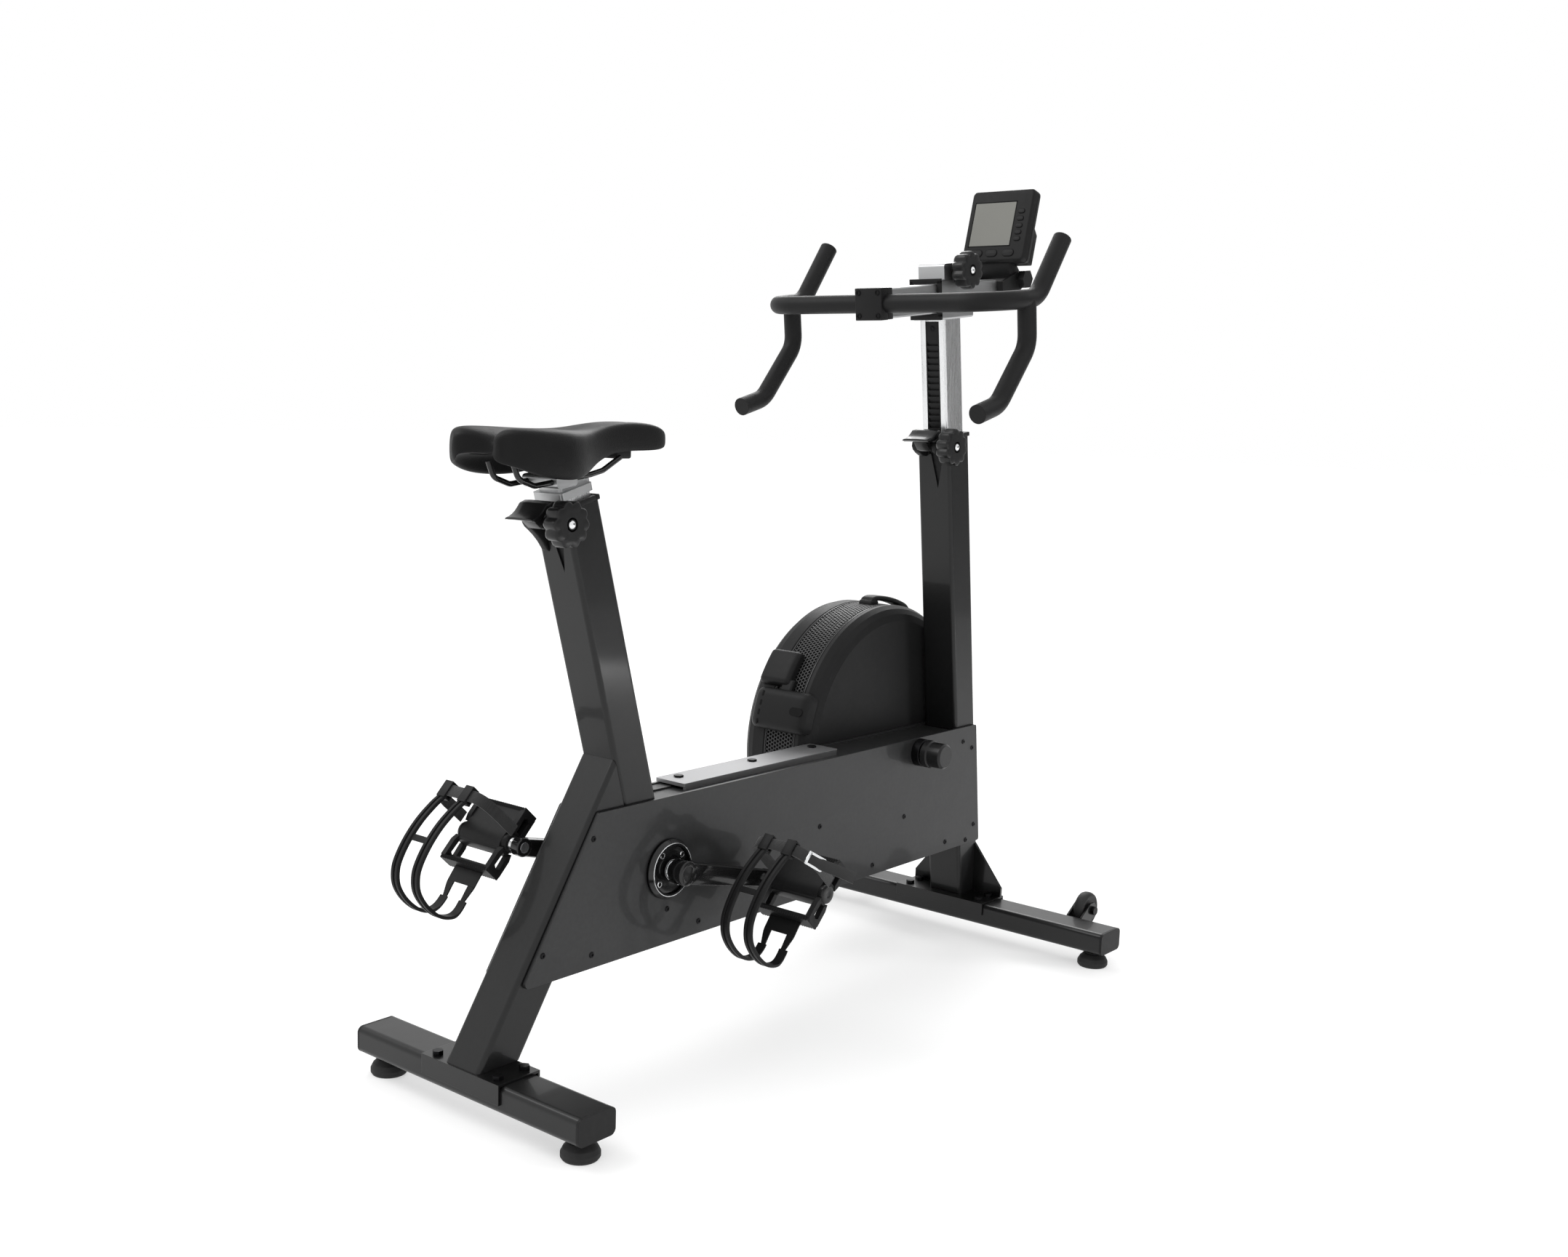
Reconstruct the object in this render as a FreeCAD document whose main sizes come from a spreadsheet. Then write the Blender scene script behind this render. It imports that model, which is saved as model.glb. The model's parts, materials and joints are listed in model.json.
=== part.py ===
import FreeCAD, Part
import math
import os
import Sketcher
from FreeCAD import Placement, Rotation, Vector

# Air bike. Millimetres, +X to the front, +Y to the rider's left, +Z up.
# Station 0 is the middle of the rear stabiliser; ORIGIN_X moves the finished
# model so that its origin is the middle of its footprint, on the floor.

DRIVING = {
    "tube_wall": 3.0,
    # stabilisers and what is on them
    "stab_deep": 60.0,
    "stab_tall": 35.0,
    "stab_base": 27.5,
    "rear_stab_long": 404.0,
    "front_stab_long": 610.0,
    "front_stab_x": 1033.0,
    "rear_foot_y": 179.0,
    "front_foot_y": 279.0,
    "stud_radius": 5.0,
    "bracket_sheet": 3.0,
    "rear_wrap_half": 72.0,
    "front_wrap_half": 87.0,
    "wheel_x": 1100.0,
    "wheel_z": 66.0,
    "wheel_y": 225.0,
    "wheel_radius": 28.5,
    "wheel_half": 9.0,
    "wheel_bolt_radius": 4.0,
    # upright tubes
    "leg_wide": 62.0,
    "leg_deep": 58.0,
    "leg_long": 440.0,
    "seat_tube_low": 30.0,
    "seat_tube_top": 388.5,
    "mast_wide": 62.7,
    "mast_deep": 56.2,
    "mast_long": 776.8,
    # posts that slide in them
    "post_wide": 48.1,
    "post_deep": 46.9,
    "seat_post_long": 310.0,
    "bar_post_long": 410.0,
    "bar_post_top": 964.0,
    "slide_gap": 0.05,
    # beam between the uprights
    "plate_inner": 31.4,
    "plate_thick": 5.0,
    "plate_screw_radius": 3.0,
    "screw_head_radius": 4.2,
    "screw_head_tall": 1.4,
    # crank and drive
    "crank_x": 290.0,
    "crank_z": 259.0,
    "crank_long": 172.0,
    "crank_turn": 13.8,
    "spindle_radius": 10.0,
    "arm_inner": 60.0,
    "arm_outer": 75.0,
    "pedal_axle_radius": 7.0,
    "pedal_axle_inset": 2.0,
    "pedal_y": 132.0,
    "pedal_turn": -46.2,
    "pedal_long": 98.0,
    "pedal_wide": 95.0,
    "pedal_tall": 26.0,
    "crank_pulley_radius": 75.0,
    "fan_pulley_radius": 10.5,
    "belt_thick": 2.3,
    "belt_right": -26.0,
    "belt_left": -10.0,
    "running_gap": 0.05,
    # fan
    "fan_x": 894.0,
    "fan_z": 337.0,
    "fan_radius": 222.0,
    "fan_axle_radius": 8.5,
    "fan_near": 36.4,
    "mesh_near": 61.0,
    "mesh_far": 124.0,
    "fan_far": 170.0,
    "fan_skin": 2.5,
    # clamps
    "knob_radius": 29.5,
    "knob_inner": 33.0,
    "knob_outer": 58.0,
    "knob_bolt_radius": 4.0,
    "lever_clearance": 0.8,
    # stem, handlebar and console
    "stem_wide": 44.0,
    "stem_tall": 45.0,
    "stem_rear": -172.6,
    "stem_front": 132.0,
    "stem_mid": 997.0,
    "bar_radius": 14.0,
    "bar_wall": 2.2,
    "bar_half": 220.0,
    "console_wide": 113.4,
    "console_tall": 121.6,
    "console_deep": 22.0,
    "console_box_deep": 35.0,
    "button_travel": 1.2,
    "button_gap": 0.3,
    # saddle
    "rail_radius": 3.5,
    "rail_y": 22.0,
    "saddle_wide": 158.0,
}

doc = FreeCAD.newDocument("air_bike")
sheet = doc.addObject("Spreadsheet::Sheet", "dims")
for row, (alias, amount) in enumerate(DRIVING.items(), start=1):
    sheet.set(f"A{row}", alias)
    sheet.set(f"B{row}", str(amount))
    sheet.setAlias(f"B{row}", alias)
doc.recompute()


class Size:
    """A number together with the spreadsheet expression that it comes from."""

    def __init__(self, value, text):
        self.value = float(value)
        self.text = text

    def __add__(self, other):
        return Size(self.value + number(other), f"({self.text} + {written(other)})")

    def __radd__(self, other):
        return Size(number(other) + self.value, f"({written(other)} + {self.text})")

    def __sub__(self, other):
        return Size(self.value - number(other), f"({self.text} - {written(other)})")

    def __rsub__(self, other):
        return Size(number(other) - self.value, f"({written(other)} - {self.text})")

    def __mul__(self, other):
        return Size(self.value * number(other), f"({self.text} * {written(other)})")

    __rmul__ = __mul__

    def __truediv__(self, other):
        return Size(self.value / number(other), f"({self.text} / {written(other)})")

    def __neg__(self):
        return Size(-self.value, f"(0 - {self.text})")


def number(size):
    return size.value if isinstance(size, Size) else float(size)


def written(size):
    return size.text if isinstance(size, Size) else repr(float(size))


class Sheet:
    """Gives each cell of the spreadsheet by its alias, such as S.stab_deep."""

    def __getattr__(self, alias):
        return Size(DRIVING[alias], f"dims.{alias}")


S = Sheet()
WALL = S.tube_wall
STAB_TOP = S.stab_base + S.stab_tall
SEAT_ON = STAB_TOP + S.bracket_sheet
PLATE_OUTER = S.plate_inner + S.plate_thick
PLATE_MID = S.plate_inner + S.plate_thick / 2
ORIGIN_X = (number(S.wheel_x + S.wheel_radius) - number(S.stab_deep / 2 + S.bracket_sheet)) / 2
TURN_Y = Vector(0, 1, 0)

nodes = {}


# ---------------------------------------------------------------- placing

def frame_at(x, y, z, turn=0.0):
    """A frame at a station of the bike, turned about the rider's left."""
    return Placement(Vector(number(x) - ORIGIN_X, number(y), number(z)), Rotation(TURN_Y, number(turn)))


BIKE = frame_at(0, 0, 0)
LEG = frame_at(2.4, 0, STAB_TOP, 32.17)
SEAT = frame_at(236.3, 0, 372.9, -15.9)
MAST = frame_at(1046.6, 0, STAB_TOP, -6.93)
CRANK = frame_at(S.crank_x, 0, S.crank_z)
FAN = frame_at(S.fan_x, 0, S.fan_z)


def in_frame(thing, frame):
    """Stands a piece in a frame; a piece whose own place is bound gets a holder first."""
    bound = any("Placement" in path for path, _ in thing.ExpressionEngine)
    holder = group(thing) if bound else thing
    holder.Placement = frame.multiply(holder.Placement)
    return holder


def node(name, thing, frame=BIKE):
    """Names a finished sub-part and stands it in its frame."""
    stood = in_frame(thing, frame)
    stood.Label = name
    nodes[name] = stood
    return stood


def bind(thing, prop, size):
    if isinstance(size, Size):
        thing.setExpression(prop, size.text)
    else:
        setattr(thing, prop, size)


def stand(thing, x, y, z, rotation=Rotation()):
    thing.Placement = Placement(Vector(number(x), number(y), number(z)), rotation)
    for axis, size in zip("xyz", (x, y, z)):
        if isinstance(size, Size):
            thing.setExpression(f"Placement.Base.{axis}", size.text)
    return thing


# ---------------------------------------------------------------- primitives

def box(x, y, z):
    """A block between the two ends given for each axis."""
    thing = doc.addObject("Part::Box", "Block")
    for prop, ends in zip(("Length", "Width", "Height"), (x, y, z)):
        bind(thing, prop, ends[1] - ends[0])
    return stand(thing, x[0], y[0], z[0])


ALONG = {
    "x": Rotation(Vector(0, 0, 1), Vector(1, 0, 0)),
    "y": Rotation(Vector(0, 0, 1), Vector(0, 1, 0)),
    "z": Rotation(),
}


def rod(axis, start, radius, length):
    """A cylinder that starts at a point and runs along one axis."""
    thing = doc.addObject("Part::Cylinder", "Rod")
    bind(thing, "Radius", radius)
    bind(thing, "Height", length)
    return stand(thing, *start, ALONG[axis])


def cone(axis, start, radius_a, radius_b, length):
    thing = doc.addObject("Part::Cone", "Taper")
    bind(thing, "Radius1", radius_a)
    bind(thing, "Radius2", radius_b)
    bind(thing, "Height", length)
    return stand(thing, *start, ALONG[axis])


def fuse(*things):
    thing = doc.addObject("Part::MultiFuse", "Union")
    thing.Shapes = list(things)
    return thing


def cut(base, *tools):
    thing = doc.addObject("Part::Cut", "Cut")
    thing.Base = base
    thing.Tool = tools[0] if len(tools) == 1 else fuse(*tools)
    return thing


def common(base, tool):
    thing = doc.addObject("Part::Common", "Common")
    thing.Base = base
    thing.Tool = tool
    return thing


def group(*things):
    thing = doc.addObject("Part::Compound", "Group")
    thing.Links = list(things)
    return thing


def edges_along(shape, direction):
    """The numbers of a shape's straight edges that run along a direction."""
    found = []
    for count, edge in enumerate(shape.Edges, start=1):
        if edge.Curve.TypeId != "Part::GeomLine":
            continue
        run = edge.Vertexes[1].Point.sub(edge.Vertexes[0].Point).normalize()
        if abs(run.dot(direction)) > 0.999:
            found.append(count)
    return found


AXES = {"x": Vector(1, 0, 0), "y": Vector(0, 1, 0), "z": Vector(0, 0, 1)}


def softened(thing, radius, axes="xyz"):
    """A block with the edges along the named axes rounded."""
    doc.recompute()
    rounded = doc.addObject("Part::Fillet", "Rounded")
    rounded.Base = thing
    chosen = []
    for axis in axes:
        chosen += edges_along(thing.Shape, AXES[axis])
    rounded.Edges = [(count, radius, radius) for count in chosen]
    return rounded


# ---------------------------------------------------------------- bodies

def new_body():
    return doc.addObject("PartDesign::Body", "Body")


def new_sketch(body, role):
    sketch = body.newObject("Sketcher::SketchObject", "Sketch")
    plane = [item for item in body.Origin.OriginFeatures if item.Role == role][0]
    sketch.AttachmentSupport = [(plane, "")]
    sketch.MapMode = "FlatFace"
    return sketch


def hold(sketch, index, end, across, up):
    """Holds one end of a line, or a circle's centre, at two distances from the origin."""
    for kind, size, axis in (("DistanceX", across, -2), ("DistanceY", up, -1)):
        if number(size) == 0.0:
            sketch.addConstraint(Sketcher.Constraint("PointOnObject", index, end, axis))
            continue
        made = sketch.addConstraint(Sketcher.Constraint(kind, -1, 1, index, end, number(size)))
        if isinstance(size, Size):
            sketch.setExpression(f"Constraints[{made}]", size.text)


def draw_outline(sketch, points):
    first = sketch.GeometryCount
    corners = [Vector(number(across), number(up), 0) for across, up in points]
    for count, corner in enumerate(corners):
        after = corners[(count + 1) % len(corners)]
        sketch.addGeometry(Part.LineSegment(corner, after), False)
    for count in range(len(points)):
        after = first + (count + 1) % len(points)
        sketch.addConstraint(Sketcher.Constraint("Coincident", first + count, 2, after, 1))
    for count, (across, up) in enumerate(points):
        hold(sketch, first + count, 1, across, up)


def draw_circle(sketch, across, up, radius):
    middle = Vector(number(across), number(up), 0)
    index = sketch.addGeometry(Part.Circle(middle, Vector(0, 0, 1), number(radius)), False)
    hold(sketch, index, 3, across, up)
    made = sketch.addConstraint(Sketcher.Constraint("Radius", index, number(radius)))
    if isinstance(radius, Size):
        sketch.setExpression(f"Constraints[{made}]", radius.text)


def feature(body, kind, sketch, length, midplane=True):
    made = body.newObject(kind, kind.split("::")[1])
    made.Profile = sketch
    made.Midplane = midplane
    bind(made, "Length", length)
    return made


def pad(body, sketch, length, midplane=True):
    return feature(body, "PartDesign::Pad", sketch, length, midplane)


def pocket(body, sketch, length):
    """A pocket to both sides of its sketch, which has to take something away."""
    doc.recompute()
    before = body.Shape.Volume
    made = feature(body, "PartDesign::Pocket", sketch, length)
    doc.recompute()
    if body.Shape.Volume > before - 1e-3:
        raise RuntimeError(f"a pocket in {body.Name} cuts nothing")
    return made


def round_edges(body, radius, axis):
    doc.recompute()
    base = body.Tip
    made = body.newObject("PartDesign::Fillet", "Fillet")
    made.Base = (base, [f"Edge{count}" for count in edges_along(base.Shape, AXES[axis])])
    bind(made, "Radius", radius)
    return made


def rectangle(wide_x, wide_y):
    half_x = wide_x / 2
    half_y = wide_y / 2
    return [(-half_x, -half_y), (half_x, -half_y), (half_x, half_y), (-half_x, half_y)]


PLANE_FOR = {"x": "YZ_Plane", "y": "XZ_Plane", "z": "XY_Plane"}


def tube(axis, wide, tall, length, corner, wall):
    """A hollow rectangular tube, centred on the origin and running along one axis."""
    body = new_body()
    outer = new_sketch(body, PLANE_FOR[axis])
    draw_outline(outer, rectangle(wide, tall))
    pad(body, outer, length)
    round_edges(body, corner, axis)
    inner = new_sketch(body, PLANE_FOR[axis])
    draw_outline(inner, rectangle(wide - wall * 2, tall - wall * 2))
    pocket(body, inner, length + 10)
    return body


def plate(points, thick, corner=0.0, holes=()):
    """A flat plate in the bike's side view, with round holes given as x, z, radius."""
    body = new_body()
    outline = new_sketch(body, "XZ_Plane")
    draw_outline(outline, points)
    pad(body, outline, thick)
    if corner:
        round_edges(body, corner, "y")
    if holes:
        bores = new_sketch(body, "XZ_Plane")
        for across, up, radius in holes:
            draw_circle(bores, across, up, radius)
        pocket(body, bores, thick * 3)
    return body


def turned(profile, role="XY_Plane"):
    """A lathe part: (radius, station) points turned about Y, or about Z from XZ_Plane."""
    body = new_body()
    sketch = new_sketch(body, role)
    draw_outline(sketch, profile)
    made = body.newObject("PartDesign::Revolution", "Revolution")
    made.Profile = sketch
    made.ReferenceAxis = (sketch, ["V_Axis"])
    made.Angle = 360.0
    return body


def pattern(body, original, sketch, count):
    """Repeats a feature round the sketch's own normal and makes that the body's tip."""
    made = body.newObject("PartDesign::PolarPattern", "PolarPattern")
    made.Originals = [original]
    made.Axis = (sketch, ["N_Axis"])
    made.Angle = 360.0
    made.Occurrences = count
    body.Tip = made
    return made


def arc_block(inner, outer, start, end, near, far):
    """A block between two radii, two angles (from +X towards +Z) and two Y stations."""
    ring = cut(rod("y", (0, near, 0), outer, far - near), rod("y", (0, near - 1, 0), inner, far - near + 2))
    reach = number(outer) * 1.6
    body = new_body()
    wedge = new_sketch(body, "XZ_Plane")
    turns = [math.radians(turn) for turn in (start, end)]
    rays = [(reach * math.cos(turn), reach * math.sin(turn)) for turn in turns]
    draw_outline(wedge, [(0, 0)] + rays)
    pad(body, wedge, number(far) * 4)
    return common(ring, body)


def bent_path(points, bends):
    """Straight runs between points, with an arc of each bend's radius at each inner point."""
    corners = [Vector(*point) for point in points]
    edges = []
    start = corners[0]
    for before, corner, after, radius in zip(corners, corners[1:], corners[2:], bends):
        back = before.sub(corner).normalize()
        ahead = after.sub(corner).normalize()
        half = back.getAngle(ahead) / 2
        trim = radius / math.tan(half)
        first = corner + back * trim
        last = corner + ahead * trim
        bisector = (back + ahead).normalize()
        middle = corner + bisector * (radius / math.sin(half) - radius)
        edges.append(Part.LineSegment(start, first).toShape())
        edges.append(Part.Arc(first, middle, last).toShape())
        start = last
    edges.append(Part.LineSegment(start, corners[-1]).toShape())
    return Part.Wire(edges)


def bent_rod(points, bends, radius):
    """A round bar swept along a bent path."""
    path = doc.addObject("Part::Feature", "Path")
    path.Shape = bent_path(points, bends)
    ring = doc.addObject("Part::Circle", "Section")
    bind(ring, "Radius", radius)
    ahead = Vector(*points[1]).sub(Vector(*points[0])).normalize()
    ring.Placement = Placement(Vector(*points[0]), Rotation(Vector(0, 0, 1), ahead))
    swept = doc.addObject("Part::Sweep", "Sweep")
    swept.Sections = [ring]
    swept.Spine = (path, [f"Edge{count}" for count in range(1, len(path.Shape.Edges) + 1)])
    swept.Solid = True
    return swept


def slab(axis, thick, points):
    """A thin plate padded along an axis from an outline in the plane across it."""
    body = new_body()
    sketch = new_sketch(body, PLANE_FOR[axis])
    draw_outline(sketch, points)
    pad(body, sketch, thick)
    return body


# ---------------------------------------------------------------- base

def stabiliser(x, long, foot_y):
    body = tube("y", S.stab_deep, S.stab_tall, long, 8.0, WALL)
    stand(body, x, 0, S.stab_base + S.stab_tall / 2)
    holes = [rod("z", (x, side * foot_y, S.stab_base - 5), S.stud_radius + 0.3, 15) for side in (-1, 1)]
    return cut(body, *holes)


def end_cap(x, long, side):
    outside = long / 2
    half_x = S.stab_deep / 2
    half_z = S.stab_tall / 2
    cap = softened(box((-half_x, half_x), (0, 4), (-half_z, half_z)), 8.0, "y")
    plug_x = S.stab_deep / 2 - WALL - 0.5
    plug_z = S.stab_tall / 2 - WALL - 0.5
    plug = box((-plug_x, plug_x), (-18, 1), (-plug_z, plug_z))
    made = fuse(cap, plug)
    turn = Rotation(Vector(0, 0, 1), 0 if side > 0 else 180)
    return stand(made, x, side * outside, S.stab_base + S.stab_tall / 2, turn)


def foot(x, y):
    """A rubber bell foot with its levelling stud, washer and nut."""
    bell = [(0, 0), (22, 0), (24, 3), (24, 8), (21, 14), (15, 20), (0, 20)]
    stud = [(0, 19), (12, 19), (12, 22), (9, 22), (9, S.stab_base), (S.stud_radius, S.stab_base)]
    stud += [(S.stud_radius, S.stab_base + 12), (0, S.stab_base + 12)]
    made = fuse(turned(bell, "XZ_Plane"), turned(stud, "XZ_Plane"))
    return stand(made, x, y, 0)


def wrap(x, half, drop):
    """A folded sheet over the top of a stabiliser and down its two faces."""
    reach = S.stab_deep / 2 + S.bracket_sheet
    outer = box((x - reach, x + reach), (-half, half), (STAB_TOP - drop, STAB_TOP + S.bracket_sheet))
    half_x = S.stab_deep / 2
    inner = box((x - half_x, x + half_x), (-half - 1, half + 1), (STAB_TOP - drop - 1, STAB_TOP))
    return cut(outer, inner)


def gusset(side):
    inner = S.mast_wide / 2 + 0.05
    points = [(inner, SEAT_ON), (S.front_wrap_half, SEAT_ON), (S.front_wrap_half, 80), (inner, 149)]
    body = slab("x", 5.0, [(side * across, up) for across, up in points])
    return stand(body, 1058.5, 0, 0)


def wheel_fork(side):
    """Two ears on a base plate, on the stabiliser's front face, that hold a wheel."""
    face = S.front_stab_x + S.stab_deep / 2
    wheel_y = side * S.wheel_y
    base = box((face, face + 3), (wheel_y - 14, wheel_y + 14), (32, 60))
    ears = []
    outline = [(face, 34), (face, 61), (1092, 79), (1104, 79), (1110, 72), (1110, 60), (1103, 53)]
    bore = (S.wheel_x, S.wheel_z, S.wheel_bolt_radius)
    for offset in (-12.5, 12.5):
        ears.append(stand(plate(outline, 3.0, 3.0, [bore]), 0, wheel_y + offset, 0))
    return fuse(base, *ears)


def transport_wheel():
    half = S.wheel_half
    radius = S.wheel_radius
    bore = S.wheel_bolt_radius + S.running_gap
    tread = [(bore, -half - 1), (9, -half - 1), (9, -half), (22, -half)]
    tread += [(radius - 2, -half + 1), (radius, -half + 5)]
    mirrored = [(across, -up) for across, up in reversed(tread)]
    return turned(tread + mirrored)


node("stabilisers", group(
    stabiliser(0, S.rear_stab_long, S.rear_foot_y),
    stabiliser(S.front_stab_x, S.front_stab_long, S.front_foot_y),
))
node("stabiliser_end_caps", group(*[
    end_cap(x, long, side)
    for x, long in ((0, S.rear_stab_long), (S.front_stab_x, S.front_stab_long))
    for side in (-1, 1)
]))
node("levelling_feet", group(*[
    foot(x, side * foot_y)
    for x, foot_y in ((0, S.rear_foot_y), (S.front_stab_x, S.front_foot_y))
    for side in (-1, 1)
]))
node("stabiliser_brackets", group(
    wrap(0, S.rear_wrap_half, 22.5),
    fuse(wrap(S.front_stab_x, S.front_wrap_half, 16.5), gusset(-1), gusset(1)),
    wheel_fork(-1),
    wheel_fork(1),
))
for name, side in (("transport_wheel_right", -1), ("transport_wheel_left", 1)):
    node(name, transport_wheel(), frame_at(S.wheel_x, side * S.wheel_y, S.wheel_z))


# ---------------------------------------------------------------- uprights

FAR = 900.0


def upright(wide, deep, low, high):
    body = tube("z", deep, wide, high - low, 6.0, WALL)
    return stand(body, 0, 0, (low + high) / 2)


def below_bracket():
    """Everything under the top of the wrap brackets, where the uprights are cut level."""
    return box((-FAR, 2 * FAR), (-FAR, FAR), (-FAR, SEAT_ON))


def latch_window(top):
    """The opening in an upright's rear wall that the latch pawl works in."""
    return box((-34.0, -20.0), (-8.0, 8.0), (top - 24.0, top - 6.0))


def latch_notch(top):
    """The V-shaped opening in the rear wall under the latch, set off to the right."""
    notch = slab("x", 12.0, [(-19, top - 22), (5, top - 22), (-7, top - 79)])
    return stand(notch, -30, 0, 0)


seat_side = in_frame(box((-29.0, FAR), (-FAR, FAR), (-FAR, FAR)), SEAT)
leg_tube = in_frame(upright(S.leg_wide, S.leg_deep, Size(-60.0, "(0 - 60)"), S.leg_long), LEG)
node("rear_leg", cut(leg_tube, in_frame(below_bracket(), BIKE), seat_side), Placement())
seat_tube = upright(S.leg_wide, S.leg_deep, -S.seat_tube_low, S.seat_tube_top)
seat_openings = [latch_window(S.seat_tube_top), latch_notch(S.seat_tube_top)]
node("seat_tube", cut(seat_tube, *seat_openings), SEAT)
mast_openings = [latch_window(S.mast_long), latch_notch(S.mast_long)]
mast_tube = upright(S.mast_wide, S.mast_deep, Size(-20.0, "(0 - 20)"), S.mast_long)
mast_tube = in_frame(cut(mast_tube, *mast_openings), MAST)
node("mast_tube", cut(mast_tube, in_frame(below_bracket(), BIKE)), Placement())


# ---------------------------------------------------------------- beam

PLATE_OUTLINE = [(161, 357), (39, 161), (43, 155), (1060, 155), (1036, 357)]
PLATE_SCREWS = [
    (151.8, 325), (67.9, 192), (151.4, 173), (290.4, 203), (353.6, 172), (618, 257), (836, 234),
    (755, 170.5), (957, 170), (1019, 162), (1041.5, 185), (998, 333), (1025.5, 319),
]
SPACERS = [(353.6, 172), (836, 234), (755, 170.5), (957, 170)]
COVER_SCREWS = [(369.5, 21.5), (523, 19), (664, 20)]
BEARING_SEAT = 26.0
FAN_BEARING_SEAT = 12.5
DAMPER = (870.0, 334.0)


def side_plate(extra):
    holes = [(x, z, S.plate_screw_radius) for x, z in PLATE_SCREWS]
    holes.append((S.crank_x, S.crank_z, BEARING_SEAT))
    return plate(PLATE_OUTLINE, S.plate_thick, 4.0, holes + [extra])


node("right_side_plate", stand(side_plate((*DAMPER, 5.05)), 0, -PLATE_MID, 0))
node("left_side_plate", stand(side_plate((S.fan_x, S.fan_z, FAN_BEARING_SEAT)), 0, PLATE_MID, 0))
beam_half = S.plate_inner - 0.1
node("beam_covers", group(
    box((276, 980), (-beam_half, beam_half), (350, 353)),
    box((306, 342), (9, 30), (353, 355.5)),
    box((101, 1003), (-beam_half, beam_half), (155.5, 158.5)),
))
top_sheet = softened(box((343, 684), (-14, 40), (357, 362)), 2.0, "z")
top_holes = [rod("z", (x, y, 350), S.plate_screw_radius, 20) for x, y in COVER_SCREWS]
node("top_cover", cut(fuse(top_sheet, box((345, 682), (-14, -10), (353, 358))), *top_holes))


def behind_fan(x, z, side):
    return side > 0 and math.hypot(x - number(S.fan_x), z - number(S.fan_z)) < number(S.fan_radius) + 8


def plate_screw(x, z, side, length):
    """A button-head screw in a side plate, or a flush stud where the fan shell covers it."""
    if behind_fan(x, z, side):
        return rod("y", (x, PLATE_OUTER - length, z), S.plate_screw_radius - 0.05, length)
    turn = Rotation(Vector(0, 0, 1), Vector(0, side, 0))
    head = cone("z", (0, 0, 0), S.screw_head_radius, S.screw_head_radius - 1, S.screw_head_tall)
    shank = rod("z", (0, 0, -length), S.plate_screw_radius - 0.05, length + 1)
    socket = doc.addObject("Part::Prism", "Socket")
    socket.Polygon = 6
    socket.Circumradius = 1.9
    socket.Height = 5
    socket.Placement = Placement(Vector(0, 0, 0.2), Rotation())
    return stand(cut(fuse(head, shank), socket), x, side * PLATE_OUTER, z, turn)


def cap_screw(x, y, z, radius=6.5, tall=4.0):
    """A hexagon bolt head standing on a level face."""
    head = doc.addObject("Part::Prism", "Hexagon")
    head.Polygon = 6
    head.Circumradius = radius
    head.Height = tall
    return stand(head, x, y, z)


def spacer(x, z):
    tubular = cut(
        rod("y", (x, -S.plate_inner, z), 7.0, S.plate_inner * 2),
        rod("y", (x, -S.plate_inner - 1, z), S.plate_screw_radius, S.plate_inner * 2 + 2),
    )
    return tubular


def wheel_bolt(side):
    start = side * S.wheel_y - 14
    shank = rod("y", (S.wheel_x, start - 2, S.wheel_z), S.wheel_bolt_radius, 32)
    head = rod("y", (S.wheel_x, start - 5, S.wheel_z), 7.0, 5)
    nut = rod("y", (S.wheel_x, start + 28, S.wheel_z), 7.0, 5)
    return fuse(shank, head, nut)


fasteners = [plate_screw(x, z, side, 4.9) for x, z in PLATE_SCREWS for side in (-1, 1)]
fasteners += [spacer(x, z) for x, z in SPACERS]
fasteners += [fuse(cap_screw(x, y, 362, 7.0, 2.5), rod("z", (x, y, 357.5), 2.95, 5)) for x, y in COVER_SCREWS]
fasteners += [cap_screw(x, y, SEAT_ON, 7.0, 5.0) for x in (-20, 22) for y in (-56, 56)]
fasteners += [cap_screw(S.front_stab_x + x, y, SEAT_ON, 7.0, 5.0) for x in (-16, 12) for y in (-70, 70)]
fasteners += [wheel_bolt(side) for side in (-1, 1)]
node("frame_fasteners", group(*fasteners))


# ---------------------------------------------------------------- drive

def crank_bearing(side):
    """The bearing in a side plate, with its flange, cup and inner race outside."""
    bore = S.spindle_radius + S.running_gap
    face = PLATE_OUTER
    profile = [(bore, S.plate_inner - 4), (BEARING_SEAT, S.plate_inner - 4), (BEARING_SEAT, face), (41, face)]
    profile += [(41, face + 3.6), (36, face + 3.6), (36, face + 9.6), (33, face + 9.6), (33, face + 5)]
    profile += [(16, face + 5), (16, face + 9), (bore, face + 9)]
    body = turned(profile)
    turn = Rotation(Vector(0, 0, 1), 0 if side > 0 else 180)
    return stand(body, S.crank_x, 0, S.crank_z, turn)


def fan_bearing(near, far, radius):
    bore = S.fan_axle_radius + S.running_gap
    body = turned([(bore, near), (radius, near), (radius, far), (bore, far)])
    return stand(body, S.fan_x, 0, S.fan_z)


damper_ring = turned([(5.05, -PLATE_OUTER), (22, -PLATE_OUTER), (22, -49), (20.5, -50), (5.05, -50)])
node("bearing_units", group(
    crank_bearing(-1),
    crank_bearing(1),
    fan_bearing(24, PLATE_OUTER, FAN_BEARING_SEAT),
    fan_bearing(-S.plate_inner, -28, 12.5),
    stand(damper_ring, DAMPER[0], 0, DAMPER[1]),
))
damper = [(0, -30), (5, -30), (5, -50.5), (19, -50.5), (19, -52), (22, -53), (22, -62), (20, -64)]
damper += [(20, -85), (17, -88), (0, -88)]
node("damper_knob", turned(damper), frame_at(DAMPER[0], 0, DAMPER[1]))

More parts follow.
